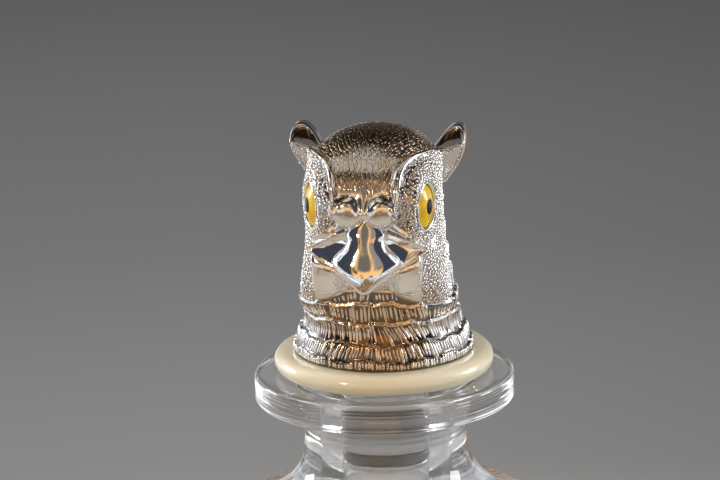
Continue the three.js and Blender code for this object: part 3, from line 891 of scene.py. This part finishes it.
def barb_lines():
    """Lines of the barbs on every feather, with their girths. They lie half sunk, so they stay flat."""
    pick = np.random.default_rng(7)
    count = len(BARB_SHAPE)
    steps = np.linspace(0, 1, count)
    turns, heights, girths = [], [], []
    for row in range(len(FEATHER_EDGES) - 1):
        radius = np.hypot(*bare_head(90.0, FEATHER_EDGES[row] + 2)[:2])
        pitch = math.degrees(BARB_PITCH / radius)
        starts = np.arange(-180 + pitch / 2, 180, pitch)
        starts = starts + pick.uniform(-0.2, 0.2, len(starts)) * pitch
        starts = starts[np.abs(starts) > 0.8]
        number = np.full(len(starts), row)
        bottom, top = feather_edge(starts, number), feather_edge(starts, number + 1)
        lean = np.interp(starts, LEAN_BEARINGS, BARB_LEAN[min(row, 4)])
        lean = lean + pick.uniform(-3, 3, len(starts))
        from_top, to_tip = pick.uniform(0.0, 0.16, len(starts)), pick.uniform(0.8, 1.03, len(starts))
        down = from_top[:, None] + (to_tip - from_top)[:, None] * steps
        length = (top - bottom)[:, None] * (down - 0.3)
        curl = pick.uniform(-1.2, 1.2, len(starts))[:, None] * np.sin(math.pi * steps)
        turns.append(starts[:, None] + (np.tan(np.radians(lean))[:, None] * length) / DEGREE + curl)
        heights.append(top[:, None] + (bottom - top)[:, None] * down)
        girths.append(BARB_GIRTH * pick.uniform(0.82, 1.1, len(starts))[:, None] * BARB_SHAPE)
    turns, heights, girths = np.vstack(turns), np.maximum(np.vstack(heights), 0.15), np.vstack(girths)
    allowed = feathered(turns, heights) > 0.55
    kept_turns, kept_heights, kept_girths = [], [], []
    for turn, height, girth, open_ground in zip(turns, heights, girths, allowed):
        if open_ground.sum() < 3:
            continue
        first, last = np.flatnonzero(open_ground)[[0, -1]]
        kept_turns.append(np.linspace(turn[first], turn[last], count))
        kept_heights.append(np.linspace(height[first], height[last], count))
        kept_girths += list(girth)
    return list(head_skin(np.array(kept_turns), np.array(kept_heights), -BARB_SUNK)), kept_girths


def brow_lines():
    """The smooth rims of the brows, as lines with girths."""
    lines, girths = [], []
    for side in (-1, 1):
        turns, heights = side * BROW[:, 0], BROW[:, 1]
        keep = heights > 39.5
        turns, heights = turns[keep], heights[keep]
        lines.append(head_skin(turns, heights, -0.12))
        along = np.linspace(0, 1, len(turns))
        girths += list(0.12 + 0.42 * smooth_step(0, 0.25, along))
    return lines, girths


SHIELD = np.array([  # height, half width, front of the ridge, and how far forward its edges stand
    [21.1, 0.25, 29.4, 29.2], [21.5, 1.4, 29.9, 29.0], [22.9, 3.1, 30.1, 28.3], [24.6, 5.3, 30.05, 27.1],
    [26.3, 7.1, 29.8, 25.9], [28.2, 8.1, 29.2, 24.7], [29.8, 7.1, 28.6, 24.4], [31.4, 5.5, 28.1, 24.3],
    [33.0, 4.6, 27.6, 24.4], [34.8, 4.7, 27.0, 24.4], [36.2, 3.8, 26.4, 24.6], [37.6, 1.2, 25.9, 25.3]])
GAPE = through([  # height, and the bearing of the gape's outer edge
    [21.1, 1.5], [22.2, 5], [23.6, 9.5], [25.4, 17], [27, 25], [28.4, 31.5], [29.6, 36.5], [30.3, 38],
    [31, 37], [32.4, 31], [34, 23], [35, 17.5], [36, 12.5], [37.6, 4]], 8)
GAPE_CORNER = 56
GAPE_FOOT, GAPE_TOP = GAPE[:GAPE_CORNER + 1, ::-1], GAPE[GAPE_CORNER - 1:, ::-1]


SHIELD_STEPS, WING_STEPS = 19, 22
SUNK = 0.7  # how deep the backs of the beaks lie in the head


def upper_beak_half(side, h, half, ridge, stand, wing):
    """One level section of half the upper beak, from the ridge out to the gape and back behind."""
    inner_turn = math.degrees(math.atan2(half, stand - 1.0))
    wing = max(wing / (1 + RIGHT_PINCH if side > 0 else 1), inner_turn + 0.6)
    out = 1 - np.linspace(1, 0, WING_STEPS) ** 1.5
    turns = inner_turn + (wing - inner_turn) * out
    level = np.full(WING_STEPS, h)
    from_foot, from_top = gap_to(GAPE_FOOT, turns, level), gap_to(GAPE_TOP, turns, level)
    from_edge = np.minimum(from_foot, from_top)
    inside = smooth_step(0, 0.55, from_edge)
    plate = 0.8 - 1.5 * (1 - inside) + 0.5 * (1 - out) ** 2
    top_rim = 1.0 * bell(np.maximum(0.7, from_top), 0.7, 0.5) * smooth_step(0, 0.7, from_top)
    dish = 0.55 * np.sin(math.pi * np.clip(out * 1.15, 0, 1)) * smooth_step(0.8, 2.4, from_edge)
    foot_rim = 0.35 * bell(from_foot, 0.5, 0.3)
    jut = 0.36 * np.clip(32 - h, 0, 7.5) * (0.6 + 0.4 * (1 - out)) * inside
    lift = plate + top_rim - dish + foot_rim + jut
    wing_points = head_skin(side * turns, level, lift, worked=False)
    part = np.sin(np.linspace(0, math.pi / 2, SHIELD_STEPS))
    forward = stand + (ridge - stand) * (1 - part ** 1.9) ** (1 / 1.8)
    front = np.stack([side * part * half, -forward, np.full(SHIELD_STEPS, HEAD_FOOT + h)], -1)
    wall = np.array([front[-1] + (wing_points[0] - front[-1]) * t for t in (0.35, 0.75)])
    back = head_skin(side * np.linspace(wing, 0, 8), np.full(8, h), -SUNK, worked=False)
    return np.vstack([front, wall, wing_points, back])


def upper_beak_mesh():
    """The hooked shield in the middle and a smooth wing to each corner of the gape, closed behind."""
    shield = through(SHIELD, 9)
    loops = []
    for row in shield:
        wing = np.interp(row[0], GAPE[:, 0], GAPE[:, 1])
        right, left = (upper_beak_half(side, *row, wing) for side in (1, -1))
        loops.append(np.vstack([right, left[1:-1][::-1]]))
    low_point, high_point = ([[0, -forward, HEAD_FOOT + h]] for forward, h in (
        (27.6, shield[0, 0] - 0.1), (24.6, shield[-1, 0] + 0.1)))
    points = np.vstack([*loops, low_point, high_point])
    faces = capped_faces(len(loops), len(loops[0]))
    return add_mesh("upper_beak_silver", points, faces, polished_silver, sharp=42)


# Bearing and height of the jaw's edges
JAW_TOP = np.array([[0, 21.6], [5, 22.4], [9.5, 23.8], [17, 25.6], [25, 27.2], [31.5, 28.6], [36.5, 29.9]])
JAW_FOOT = np.array([[0, 19.4], [9, 19.6], [16, 19.2], [24, 18.0], [30, 17.2], [34, 17.6], [36.5, 19]])
JAW_REACH = 36.5
JAW_PROFILE = np.array([  # place from the top edge to the foot, and share of the jaw's rise
    [0, -0.5], [0.06, 0.7], [0.2, 1.0], [0.45, 0.78], [0.7, 0.38], [0.88, 0.1], [1, -0.4]])


def lower_beak_mesh():
    """The lower mandible and its smooth jowls: one band round the front, undercut below, closed behind."""
    outer_steps, back_steps = 23, 6
    down = 1 - np.linspace(1, 0, outer_steps) ** 1.25
    up = np.linspace(0, 1, back_steps)
    shape = np.interp(down, *JAW_PROFILE.T)
    loops, grained = [], []
    for place in np.linspace(-JAW_REACH, JAW_REACH, 109):
        a = abs(place)
        high, low = np.interp(a, *JAW_TOP.T), np.interp(a, *JAW_FOOT.T)
        turn = place / (1 + RIGHT_PINCH if place > 0 else 1)
        end = smooth_step(0, 3.0, JAW_REACH + 0.1 - a)
        lift = (1.9 + 1.6 * bell(place, 0, 12) - 0.7 * bell(a, 21, 6)) * shape * end + 0.1
        outer = head_skin(np.full(outer_steps, turn), high + (low - high) * down, lift, worked=False)
        back = head_skin(np.full(back_steps, turn), low + (high - low) * up, -0.8, worked=False)
        loops.append(np.vstack([outer, back]))
        grained += [*(smooth_step(23, 20, a) * smooth_step(0.1, 0.16, down)), *np.zeros(back_steps)]
    points = np.vstack([*loops, loops[0].mean(0), loops[-1].mean(0)])
    beak = add_mesh("lower_beak_silver", points, capped_faces(len(loops), len(loops[0])), polished_silver,
                    {"grained": grained + [0.0, 0.0]}, 50)
    set_values(beak.data, "lie", np.tile(GRAIN_LIE, len(points)), "FLOAT_VECTOR")
    return beak


TUFT_PINCH = 0.91  # the right tuft stands a little closer
TUFT_OUTLINE = through([
    (10, 46.8), (11.2, 43.6), (13.6, 41.2), (16, 40.7), (17.8, 42.6), (19.9, 45.4), (21.6, 48.6), (22, 51.2),
    (21.8, 53.5), (20.6, 54.9), (18.4, 54.8), (16.2, 53.2), (14.2, 51), (12, 49.2)], 6, closed=True)
TUFT_CREASE = through([(9, 49.2), (13, 50), (17, 50.1), (20, 51), (22.2, 51.6)], 6)


TUFT_MIDDLE = np.array([16.6, 49.2])
TUFT_SHARES = np.r_[1, 0.975, 0.93, np.linspace(0.86, 0.07, 15)]  # of the outline, ring by ring to the middle


def tuft_mesh(side, name):
    """An ear tuft: a leaf with a crease across its front, hollowed above and below, and a rounded rim."""
    fronts, backs, grained, worked = [], [], [], []
    for share in TUFT_SHARES:
        across, height = (TUFT_MIDDLE + (TUFT_OUTLINE - TUFT_MIDDLE) * share).T
        above = height - np.interp(across, *TUFT_CREASE.T)
        slope = np.where(above > 0, 0.95 * above, -0.42 * above)
        crease = -0.35 * bell(above, 0, 0.35)
        rim = 0.75 * smooth_step(0.84, 0.95, share) * (1 - smooth_step(0.95, 1.0, share))
        edge = 1.0 * smooth_step(0.93, 1.0, share) ** 2
        hollow = 0.9 * (1 - share ** 2) * np.minimum(np.abs(above) / 1.5, 1)
        sweep = 0.16 * (across - 10)
        front = -4.4 + slope + crease + hollow - rim + edge + sweep
        back = np.maximum(1.6 + 0.85 * slope - 1.6 * smooth_step(0.7, 1.0, share) + sweep, front + 0.3)
        fronts.append(np.stack([across, front, height], -1))
        backs.append(np.stack([across, back, height], -1))
        grained.append((above < -0.35) & (share < 0.95) & (across < (15.2 if side > 0 else 19.5)))
        worked.append(np.where(above > 0.2, 0.86, 0.25) * smooth_step(0.96, 0.88, share))
    rings = fronts[::-1] + backs
    points = np.vstack([*rings, rings[0].mean(0), rings[-1].mean(0)]) * [side, 1, 1] + [0, 1.6, HEAD_FOOT]
    if side > 0:
        points[:, 0] = 10 + (points[:, 0] - 10) * TUFT_PINCH
    spare = np.ones(len(points) - TUFT_SHARES.size * len(TUFT_OUTLINE))
    marks = {"grained": np.r_[np.concatenate(grained[::-1]), 0 * spare],
             "worked": np.r_[np.concatenate(worked[::-1]), 0.3 * spare]}
    tuft = add_mesh(name, points, capped_faces(len(rings), len(TUFT_OUTLINE)), chased_silver, marks)
    set_values(tuft.data, "lie", np.tile(GRAIN_LIE, len(points)), "FLOAT_VECTOR")
    return tuft


def eye_pieces(side, word):
    """The bezel, iris and pupil of one eye."""
    outer = EYE_RADIUS + 0.7
    ring = rounded([(0, -1.9), (outer - 0.1, -1.9), (outer, 0.55), (outer - 0.3, 0.85), (EYE_RADIUS, 0.6),
                    (EYE_RADIUS, -1.2), (0, -1.2)], 0.25)
    iris_radius = EYE_RADIUS - 0.12
    dome = [(iris_radius * s, 0.15 + 1.45 * (1 - s * s)) for s in np.linspace(1, 0.36, 14)]
    iris = [(0, -0.9), (iris_radius, -0.9)] + dome + [(1.9, 1.2), (1.9, 0), (0, 0)]
    pupil = [(0, 0.3), (1.75, 0.3)] + [(1.7 * s, 1.5 + 0.2 * (1 - s * s)) for s in np.linspace(1, 0, 8)]
    made = []
    for label, profile, finish in (("bezel", ring, polished_silver), ("iris", iris, yellow_enamel),
                                   ("pupil", pupil, black_enamel)):
        piece = turned(f"{word}_eye_{label}_piece", profile, finish, 64)
        piece.data.transform(eye_frame(side))
        turn_outward(piece)
        made.append(piece)
    return made

# Bottle, collar and plug

def bottle_profile():
    """The glass from the foot up the outside, over the lip and down the inside."""
    foot, body, neck, lip, bore = 46.0, 56.0, 20.0, 32.0, 11.05
    side_top, inside, floor = 93.2, 51.4, 11
    lip_foot, lip_top, low_round, high_round, ripple = 147.5, 155, 1.7, 1.4, 0.025
    outline = [(0, 0.4), (foot - 22, 0.4)]
    bend(outline, ((foot - 18, 0.4), (foot - 16, 0), (foot - 12, 0), 6))
    outline.append((foot, 0))
    bend(outline, ((foot + 3.4, 0), (foot + 5, 1.7), (foot + 5, 5), 8),
         ((55, 31.1), (body, 62.1), (body, side_top), 28),
         ((body, 108.3), (44.1, 116.3), (34, 120.7), 28),
         ((23.9, 125.1), (neck, 129.9), (neck, 139.1), 28))
    outline += [(neck + 0.02 * math.sin(1.3 * z * math.pi), z) for z in np.linspace(139.6, 144.3, 21)]
    outline.append((neck, 144.5))
    bend(outline, ((neck, 146.3), (21.2, lip_foot), (23, lip_foot), 8))
    outline += arc((lip - low_round, lip_foot + low_round), low_round, -90, 0)
    outline += [(lip + ripple * (math.sin(2.2 * z * math.pi) - 1), z) for z in np.linspace(149.4, 153.4, 25)]
    outline += arc((lip - high_round, lip_top - high_round), high_round, 0, 90)
    bend(outline, ((20, lip_top), (16, lip_top), (bore + 1.6, lip_top), 6),
         ((bore + 0.7, lip_top), (bore, lip_top - 0.7), (bore, lip_top - 1.6), 6))
    outline.append((bore, 129))
    bend(outline, ((bore, 119.8), (23.9, 119.6), (33, 115.2), 28),
         ((44.1, 110.8), (inside, 105.6), (inside, side_top), 28),
         ((inside, 62.1), (inside - 1, 31.1), (foot, floor + 5), 28),
         ((foot - 1.7, floor + 1.7), (foot - 5, floor), (foot - 10, floor), 8))
    return outline + [(0, floor)]


PLUG_FOOT, PLUG_TOP, PLUG_RADIUS = 130.7, 155.0, 10.5
SCREW_HOLE = 2.3  # radius through the plug, the collar and the washer
SEAL_RISES = {"lower": 2.7, "upper": 17.0}  # of each seal ring over the plug's foot
SEAL_WIDTH, SEAL_CLEARANCE = 2.7, 0.3


def plug_profile():
    """The polished plug with its two grooves and its hollow end."""
    low, top, radius, hollow, groove = PLUG_FOOT, PLUG_TOP, PLUG_RADIUS, 6.6, 8.8
    outline = [(hollow, low + 4), (hollow, low), (radius - 1, low), (radius, low + 1)]
    for rise in SEAL_RISES.values():
        a, b = low + rise - SEAL_CLEARANCE, low + rise + SEAL_WIDTH + SEAL_CLEARANCE
        outline += [(radius, a), (groove, a), (groove, b), (radius, b)]
    outline += [(radius, top - 0.5), (radius - 0.5, top), (SCREW_HOLE, top), (SCREW_HOLE, low + 8)]
    outline.append((hollow, low + 8))
    return rounded(outline + [(hollow, low + 4)], 0.18, 3)


def band_profile(inner, outer, low, high, radius, steps):
    """A closed section between two radii and two heights, with rounded corners."""
    start = (inner, (low + high) / 2)
    return rounded([start, (inner, low), (outer, low), (outer, high), (inner, high), start], radius, steps)


def seal_profile(rise):
    return band_profile(9.1, PLUG_RADIUS + 0.25, PLUG_FOOT + rise, PLUG_FOOT + rise + SEAL_WIDTH, 0.6, 5)


def collar_profile():
    half = COLLAR_THICKNESS / 2
    edge, middle = 27 - half, COLLAR_UNDERSIDE + half
    low, high = (SCREW_HOLE, COLLAR_UNDERSIDE), (SCREW_HOLE, COLLAR_TOP)
    return [low, (edge, COLLAR_UNDERSIDE)] + arc((edge, middle), half, -90, 90, 24) + [high, low]


def screw_profile():
    top, head, shank, end = 137.1, 4, 2, 167.6
    outline = [(0, top - 3), (head, top - 3), (head, top), (shank, top), (shank, end), (0, end)]
    return rounded(outline, 0.35, 4)


# Build

glass = turned("bottle_glass", bottle_profile(), clear_glass, 256)
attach(glass, "decanter")
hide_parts("glass_bottle")

for word, rise in SEAL_RISES.items():
    ring = turned(f"seal_{word}", seal_profile(rise), seal_rubber)
    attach(ring, "seal_rings")
    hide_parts(f"seal_ring_{word}")

washer_profile = band_profile(SCREW_HOLE, 5.4, 137.4, 138.4, 0.2, 3)
for name, profile, finish, node, slot, sides in (
        ("plug_steel", plug_profile(), polished_steel, "plug", "polished_steel", 128),
        ("collar_cream", collar_profile(), cream_resin, "collar", "cream_resin", 192),
        ("screw_steel", screw_profile(), polished_steel, "clamp_screw", "polished_steel", 48),
        ("washer_steel", washer_profile, polished_steel, "screw_washer", "polished_steel", 64)):
    piece = turned(name, profile, finish, sides)
    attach(piece, "stopper")
    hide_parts(node)

head = head_mesh()
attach(head, "stopper")
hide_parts("head_shell")


def grains(where, finish, seed, spacing, crowding, sway, smallest, largest):
    """The grains tree's settings. Sizes are half lengths across, along and out of the surface."""
    smallest, largest = (tuple(size * MM for size in sizes) for sizes in (smallest, largest))
    return {"Where": where, "Finish": finish, "Seed": seed, "Spacing": spacing * MM, "Crowding": crowding,
            "Sway": sway, "Smallest": smallest, "Largest": largest}


PEBBLES = grains("grained", raised_silver, 3, 0.64, 6.0e6, 0.9, (0.25, 0.34, 0.18), (0.38, 0.66, 0.34))
CROWN_STROKES = grains("crowned", painted_warm_silver, 5, 0.86, 4.0e6, 0.16, (0.23, 0.9, 0.09), (0.38, 1.7, 0.16))
CHIN_STROKES = grains("grained", raised_silver, 8, 0.42, 9.0e6, 0.3, (0.13, 0.5, 0.1), (0.19, 0.85, 0.16))
barbs = barred("feather_barbs", *barb_lines(), raised_silver)
brows = barred("brow_rims", *brow_lines(), polished_silver, 12)
left_tuft, right_tuft = tuft_mesh(1, "tuft_left_silver"), tuft_mesh(-1, "tuft_right_silver")
face_pebbles = grow("face_pebbles", head, GRAINS, PEBBLES)
left_pebbles = grow("left_tuft_pebbles", left_tuft, GRAINS, PEBBLES)
right_pebbles = grow("right_tuft_pebbles", right_tuft, GRAINS, PEBBLES)
crown_strokes = grow("crown_strokes", head, GRAINS, CROWN_STROKES)
lower_beak = lower_beak_mesh()
chin_strokes = grow("chin_strokes", lower_beak, GRAINS, CHIN_STROKES)
for slot, pieces in (("chased_silver", (barbs, face_pebbles, crown_strokes, left_pebbles, right_pebbles)),
                     ("polished_silver", (brows, chin_strokes))):
    for piece in pieces:
        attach(piece, "stopper")

for piece, node in ((upper_beak_mesh(), "upper_beak"), (lower_beak, "lower_beak"),
                    (left_tuft, "left_tuft"), (right_tuft, "right_tuft")):
    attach(piece, "stopper")
    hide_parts(node)

for side, word in ((1, "left"), (-1, "right")):
    for piece, part, slot in zip(eye_pieces(side, word), ("eye_bezel", "iris", "pupil"),
                                 ("polished_silver", "yellow_enamel", "black_enamel")):
        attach(piece, "stopper")
        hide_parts(f"{word}_{part}")

# These two keep the CAD's shape, since they are hidden in the head
for node, finish in (("base_plate", raised_silver), ("anchor_nut", polished_steel)):
    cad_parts[node].data.materials.clear()
    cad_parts[node].data.materials.append(finish)


# Floor, light and camera

# Except the paper, the floor glows with these colours as painted light: a grey backdrop that darkens further
# out, a pale glow seen through the glass, and gold and white patches that only reflections see.
GREY_NEAR, GREY_MIDDLE, GREY_FAR = (0.26, 0.257, 0.255), (0.178, 0.177, 0.179), (0.108, 0.108, 0.111)
FLOOR_PAPER, PALE_THROUGH_GLASS = (0.56, 0.525, 0.47), (0.5, 0.495, 0.49, 1)
GOLD_SHADE, GOLD_LIGHT = (0.12, 0.075, 0.045), (0.5, 0.32, 0.17)
SHEET_SHADE, SHEET_LIGHT = (0.12, 0.125, 0.14), (1.15, 1.19, 1.25)


def backdrop_fall(tree, place):
    """How bright the backdrop is at a bearing from the camera: it falls a little to the right."""
    rightward, onward = add_dot(tree, place, (0.99, 0.16, 0)), add_dot(tree, place, (-0.16, 0.99, 0))
    onward = add_math(tree, "ABSOLUTE", add_math(tree, "ADD", onward, 0.77))
    return add_range(tree, add_math(tree, "DIVIDE", rightward, onward), -0.05, 0.13, 1.0, 0.82)


def floor_finish():
    """Pale paper near the decanter, a grey backdrop further out, and what silver and glass see there."""
    finish, tree, _, place = start_finish("floor_paper", FLOOR_PAPER, 0.0, 0.9)
    paper = tree.nodes["Principled BSDF"].outputs[0]
    ray = add_node(tree, "ShaderNodeLightPath").outputs
    away = add_node(tree, "ShaderNodeVectorMath", {"operation": "LENGTH"}, {0: place}).outputs["Value"]
    across = add_math(tree, "ABSOLUTE", add_axes(tree, place)["X"])

    def glow(color, strength=1.0):
        return add_node(tree, "ShaderNodeEmission", links={"Color": color, "Strength": strength}).outputs[0]

    def laid_over(mask, below, over):
        return add_node(tree, "ShaderNodeMixShader", links={0: mask, 1: below, 2: over}).outputs[0]

    # Painted light: the backdrop glows grey, darker further out and a little to the right.
    distance = add_range(tree, away, 0.36, 1.35)
    grey = add_ramp(tree, distance, (0, GREY_NEAR), (0.34, GREY_MIDDLE), (1, GREY_FAR))
    # Painted reflections: glowing gold patches stand for a warm room and white sheets for bright things near
    # the decanter. Neither the camera nor rays through the glass see them.
    gold = add_ramp(tree, add_noise(tree, place, 7.0, 2.0), (0.42, GOLD_SHADE), (0.6, GOLD_LIGHT))
    sheets = add_ramp(tree, add_noise(tree, place, 5.0, 1.5), (0.42, SHEET_SHADE), (0.55, SHEET_LIGHT))
    straight = add_math(tree, "MAXIMUM", ray["Is Camera Ray"], ray["Is Transmission Ray"])
    backdrop = laid_over(straight, glow(gold), glow(grey, backdrop_fall(tree, place)))
    # Painted light: rays through the glass see a pale glow on the near floor in place of the light the glass
    # would let through.
    near = laid_over(ray["Is Transmission Ray"], paper, glow(PALE_THROUGH_GLASS))
    near = laid_over(add_window(tree, away, 0.45, 0.7), near, glow(sheets))
    middle = add_math(tree, "MAXIMUM", add_window(tree, across, 0.36, 0.22), straight)
    far = add_math(tree, "MULTIPLY", add_window(tree, away, 0.2, 0.4), middle)
    tree.links.new(laid_over(far, near, backdrop), tree.nodes["Material Output"].inputs["Surface"])
    return finish


def add_floor():
    """A round floor, a hair under the decanter's foot. Its sizes are in metres."""
    reach, steps, drop = 6.0, 96, 0.0002
    angles = [2 * math.pi * i / steps for i in range(steps)]
    ring = [(reach * math.cos(a), reach * math.sin(a), 0) for a in angles]
    mesh = bpy.data.meshes.new("floor")
    mesh.from_pydata(ring, [], [list(range(steps))])
    mesh.materials.append(floor_finish())
    floor = link_mesh("floor", mesh)
    floor.location.z = -drop


def add_panel(name, place, target, size, power, color=(1, 1, 1)):
    """A square or oblong lamp aimed at a height on the axis. Places and sizes are in metres."""
    lamp = bpy.data.lights.new(name, "AREA")
    lamp.shape = "RECTANGLE"
    lamp.size, lamp.size_y = size
    lamp.energy = power
    lamp.color = color
    panel = bpy.data.objects.new(name, lamp)
    panel.location = place
    panel.rotation_mode = "QUATERNION"
    panel.rotation_quaternion = (Vector((0, 0, target)) - Vector(place)).to_track_quat("-Z", "Y")
    panel.visible_camera = False
    scene.collection.objects.link(panel)
    return panel


BACK_LOW, BACK_HIGH = (0.14, 0.14, 0.145), (0.045, 0.031, 0.021)
SIDE_SHADE, SIDE_LIGHT = (0.2, 0.21, 0.235), (1.12, 1.16, 1.22)
BLUE_GAP, GREY_BAND, PALE_BAND = (0.05, 0.056, 0.075), (0.17, 0.155, 0.13), (0.3, 0.28, 0.25)
WARM_SHADE, WARM_LIGHT = (0.17, 0.085, 0.038), (1.1, 0.64, 0.27)
OVERHEAD, OVERHEAD_WAY = (0.62, 0.6, 0.55), (-0.15, 0.25, 0.957)
BEYOND_SHADE, BEYOND_LIGHT = (0.46, 0.475, 0.5), (1.1, 1.15, 1.22)
BACKDROP_GREY = (0.112, 0.112, 0.117)


def set_world():
    """A soft room: a warm front broken by darker shapes, dark gaps beside it, white sides and a dim back."""
    world = bpy.data.worlds.new("studio")
    scene.world = world
    world.use_nodes = True
    tree = world.node_tree
    way = add_node(tree, "ShaderNodeTexCoord").outputs["Generated"]
    level = add_node(tree, "ShaderNodeVectorMath", {"operation": "MULTIPLY"}, {0: way, 1: (1, 1, 0)})
    level = add_node(tree, "ShaderNodeVectorMath", {"operation": "NORMALIZE"}, {0: level.outputs[0]})
    bearing = add_axes(tree, level.outputs[0])
    to_right = bearing["X"]
    across = add_math(tree, "ABSOLUTE", to_right)
    ahead = add_math(tree, "MULTIPLY", bearing["Y"], -1.0)
    above = add_axes(tree, way)["Z"]

    def window(value, low, high):
        return add_window(tree, value, low, high)

    def blend(below, over, *masks):
        """One light over another where every mask is 1."""
        mask = masks[0]
        for other in masks[1:]:
            mask = add_math(tree, "MULTIPLY", mask, other)
        return add_blend(tree, below, over, mask)

    light = blend(BACK_LOW, BACK_HIGH, window(above, 0.03, 0.3))
    sides = blend(SIDE_SHADE, SIDE_LIGHT, window(add_noise(tree, way, 4.6, 1.5), 0.41, 0.55))
    light = blend(light, sides,
                  window(ahead, 0.18, 0.08), window(ahead, -0.65, -0.5), window(above, 0.8, 0.62))
    light = blend(light, BLUE_GAP,
                  window(ahead, 0.08, 0.16), window(across, 0.6, 0.68), window(above, 0.85, 0.7))
    lower = add_math(tree, "MULTIPLY", window(above, 0.36, 0.2), 0.07)
    shapes = add_math(tree, "ADD", add_noise(tree, way, 3.2, 2.0), lower)
    warm = blend(WARM_SHADE, WARM_LIGHT, window(shapes, 0.42, 0.56))
    from_beak = add_math(tree, "ABSOLUTE", add_math(tree, "ADD", to_right, 0.13))
    warm = blend(warm, GREY_BAND,
                 window(from_beak, 0.34, 0.22), window(above, 0.24, 0.36), window(above, 0.8, 0.7))
    warm = blend(warm, PALE_BAND,
                 window(to_right, 0.2, 0.34), window(above, 0.22, 0.34), window(above, 0.75, 0.6))
    light = blend(light, warm,
                  window(across, 0.66, 0.56), window(ahead, 0.0, 0.2), window(above, 0.88, 0.75))
    light = blend(light, OVERHEAD, window(add_dot(tree, way, OVERHEAD_WAY), 0.9, 0.93))
    ray = add_node(tree, "ShaderNodeLightPath").outputs
    beyond = blend(BEYOND_SHADE, BEYOND_LIGHT, window(across, 0.34, 0.56), window(above, 0.75, 0.6))
    light = blend(light, beyond, ray["Is Transmission Ray"], 0.65, window(ahead, 0.45, 0.1))
    light = blend(light, BACKDROP_GREY, ray["Is Camera Ray"])
    tree.links.new(light, tree.nodes["Background"].inputs["Color"])
    tree.nodes["Background"].inputs["Strength"].default_value = 1.0


def add_camera():
    """Looks at the stopper from 9 degrees towards its left and 15 degrees above, 0.8 m away."""
    turn, rise, roll = math.radians(9), math.radians(15), math.radians(-1.4)
    distance, aim_height, aside = 0.8, COLLAR_TOP + 27, 5.22
    back = Vector((math.sin(turn) * math.cos(rise), -math.cos(turn) * math.cos(rise), math.sin(rise)))
    right = Vector((math.cos(turn), math.sin(turn), 0))
    up = back.cross(right)
    right, up = right * math.cos(roll) + up * math.sin(roll), up * math.cos(roll) - right * math.sin(roll)
    lens = bpy.data.cameras.new("camera")
    lens.lens, lens.sensor_width = 164.07, 36
    camera = bpy.data.objects.new("camera", lens)
    place = Vector((0, 0, aim_height)) * MM - right * aside * MM + back * distance
    camera.matrix_world = Matrix.Translation(place) @ Matrix((right, up, back)).transposed().to_4x4()
    scene.collection.objects.link(camera)
    scene.camera = camera


DAYLIGHT = (0.94, 0.975, 1.0)
add_floor()
for name, side in (("left", -1), ("right", 1)):
    add_panel(f"{name}_softbox", (side * 0.7, 0.32, 0.24), 0.17, (0.8, 0.62), 1.15, DAYLIGHT)
for name, side in (("left", -1), ("right", 1)):
    add_panel(f"{name}_lamp", (side * 0.76, 0.25, 0.33), 0.19, (0.24, 0.24), 2.0)
add_panel("warm_lamp", (-0.6, -0.85, 0.62), 0.18, (0.1, 0.1), 1.6, (1.0, 0.82, 0.6))
overhead_softbox = add_panel("overhead_softbox", (0, -0.25, 0.95), 0.16, (0.5, 0.5), 3.6, (1.0, 0.95, 0.88))
overhead_softbox.visible_glossy = False
set_world()
add_camera()
scene.view_settings.view_transform = "Standard"
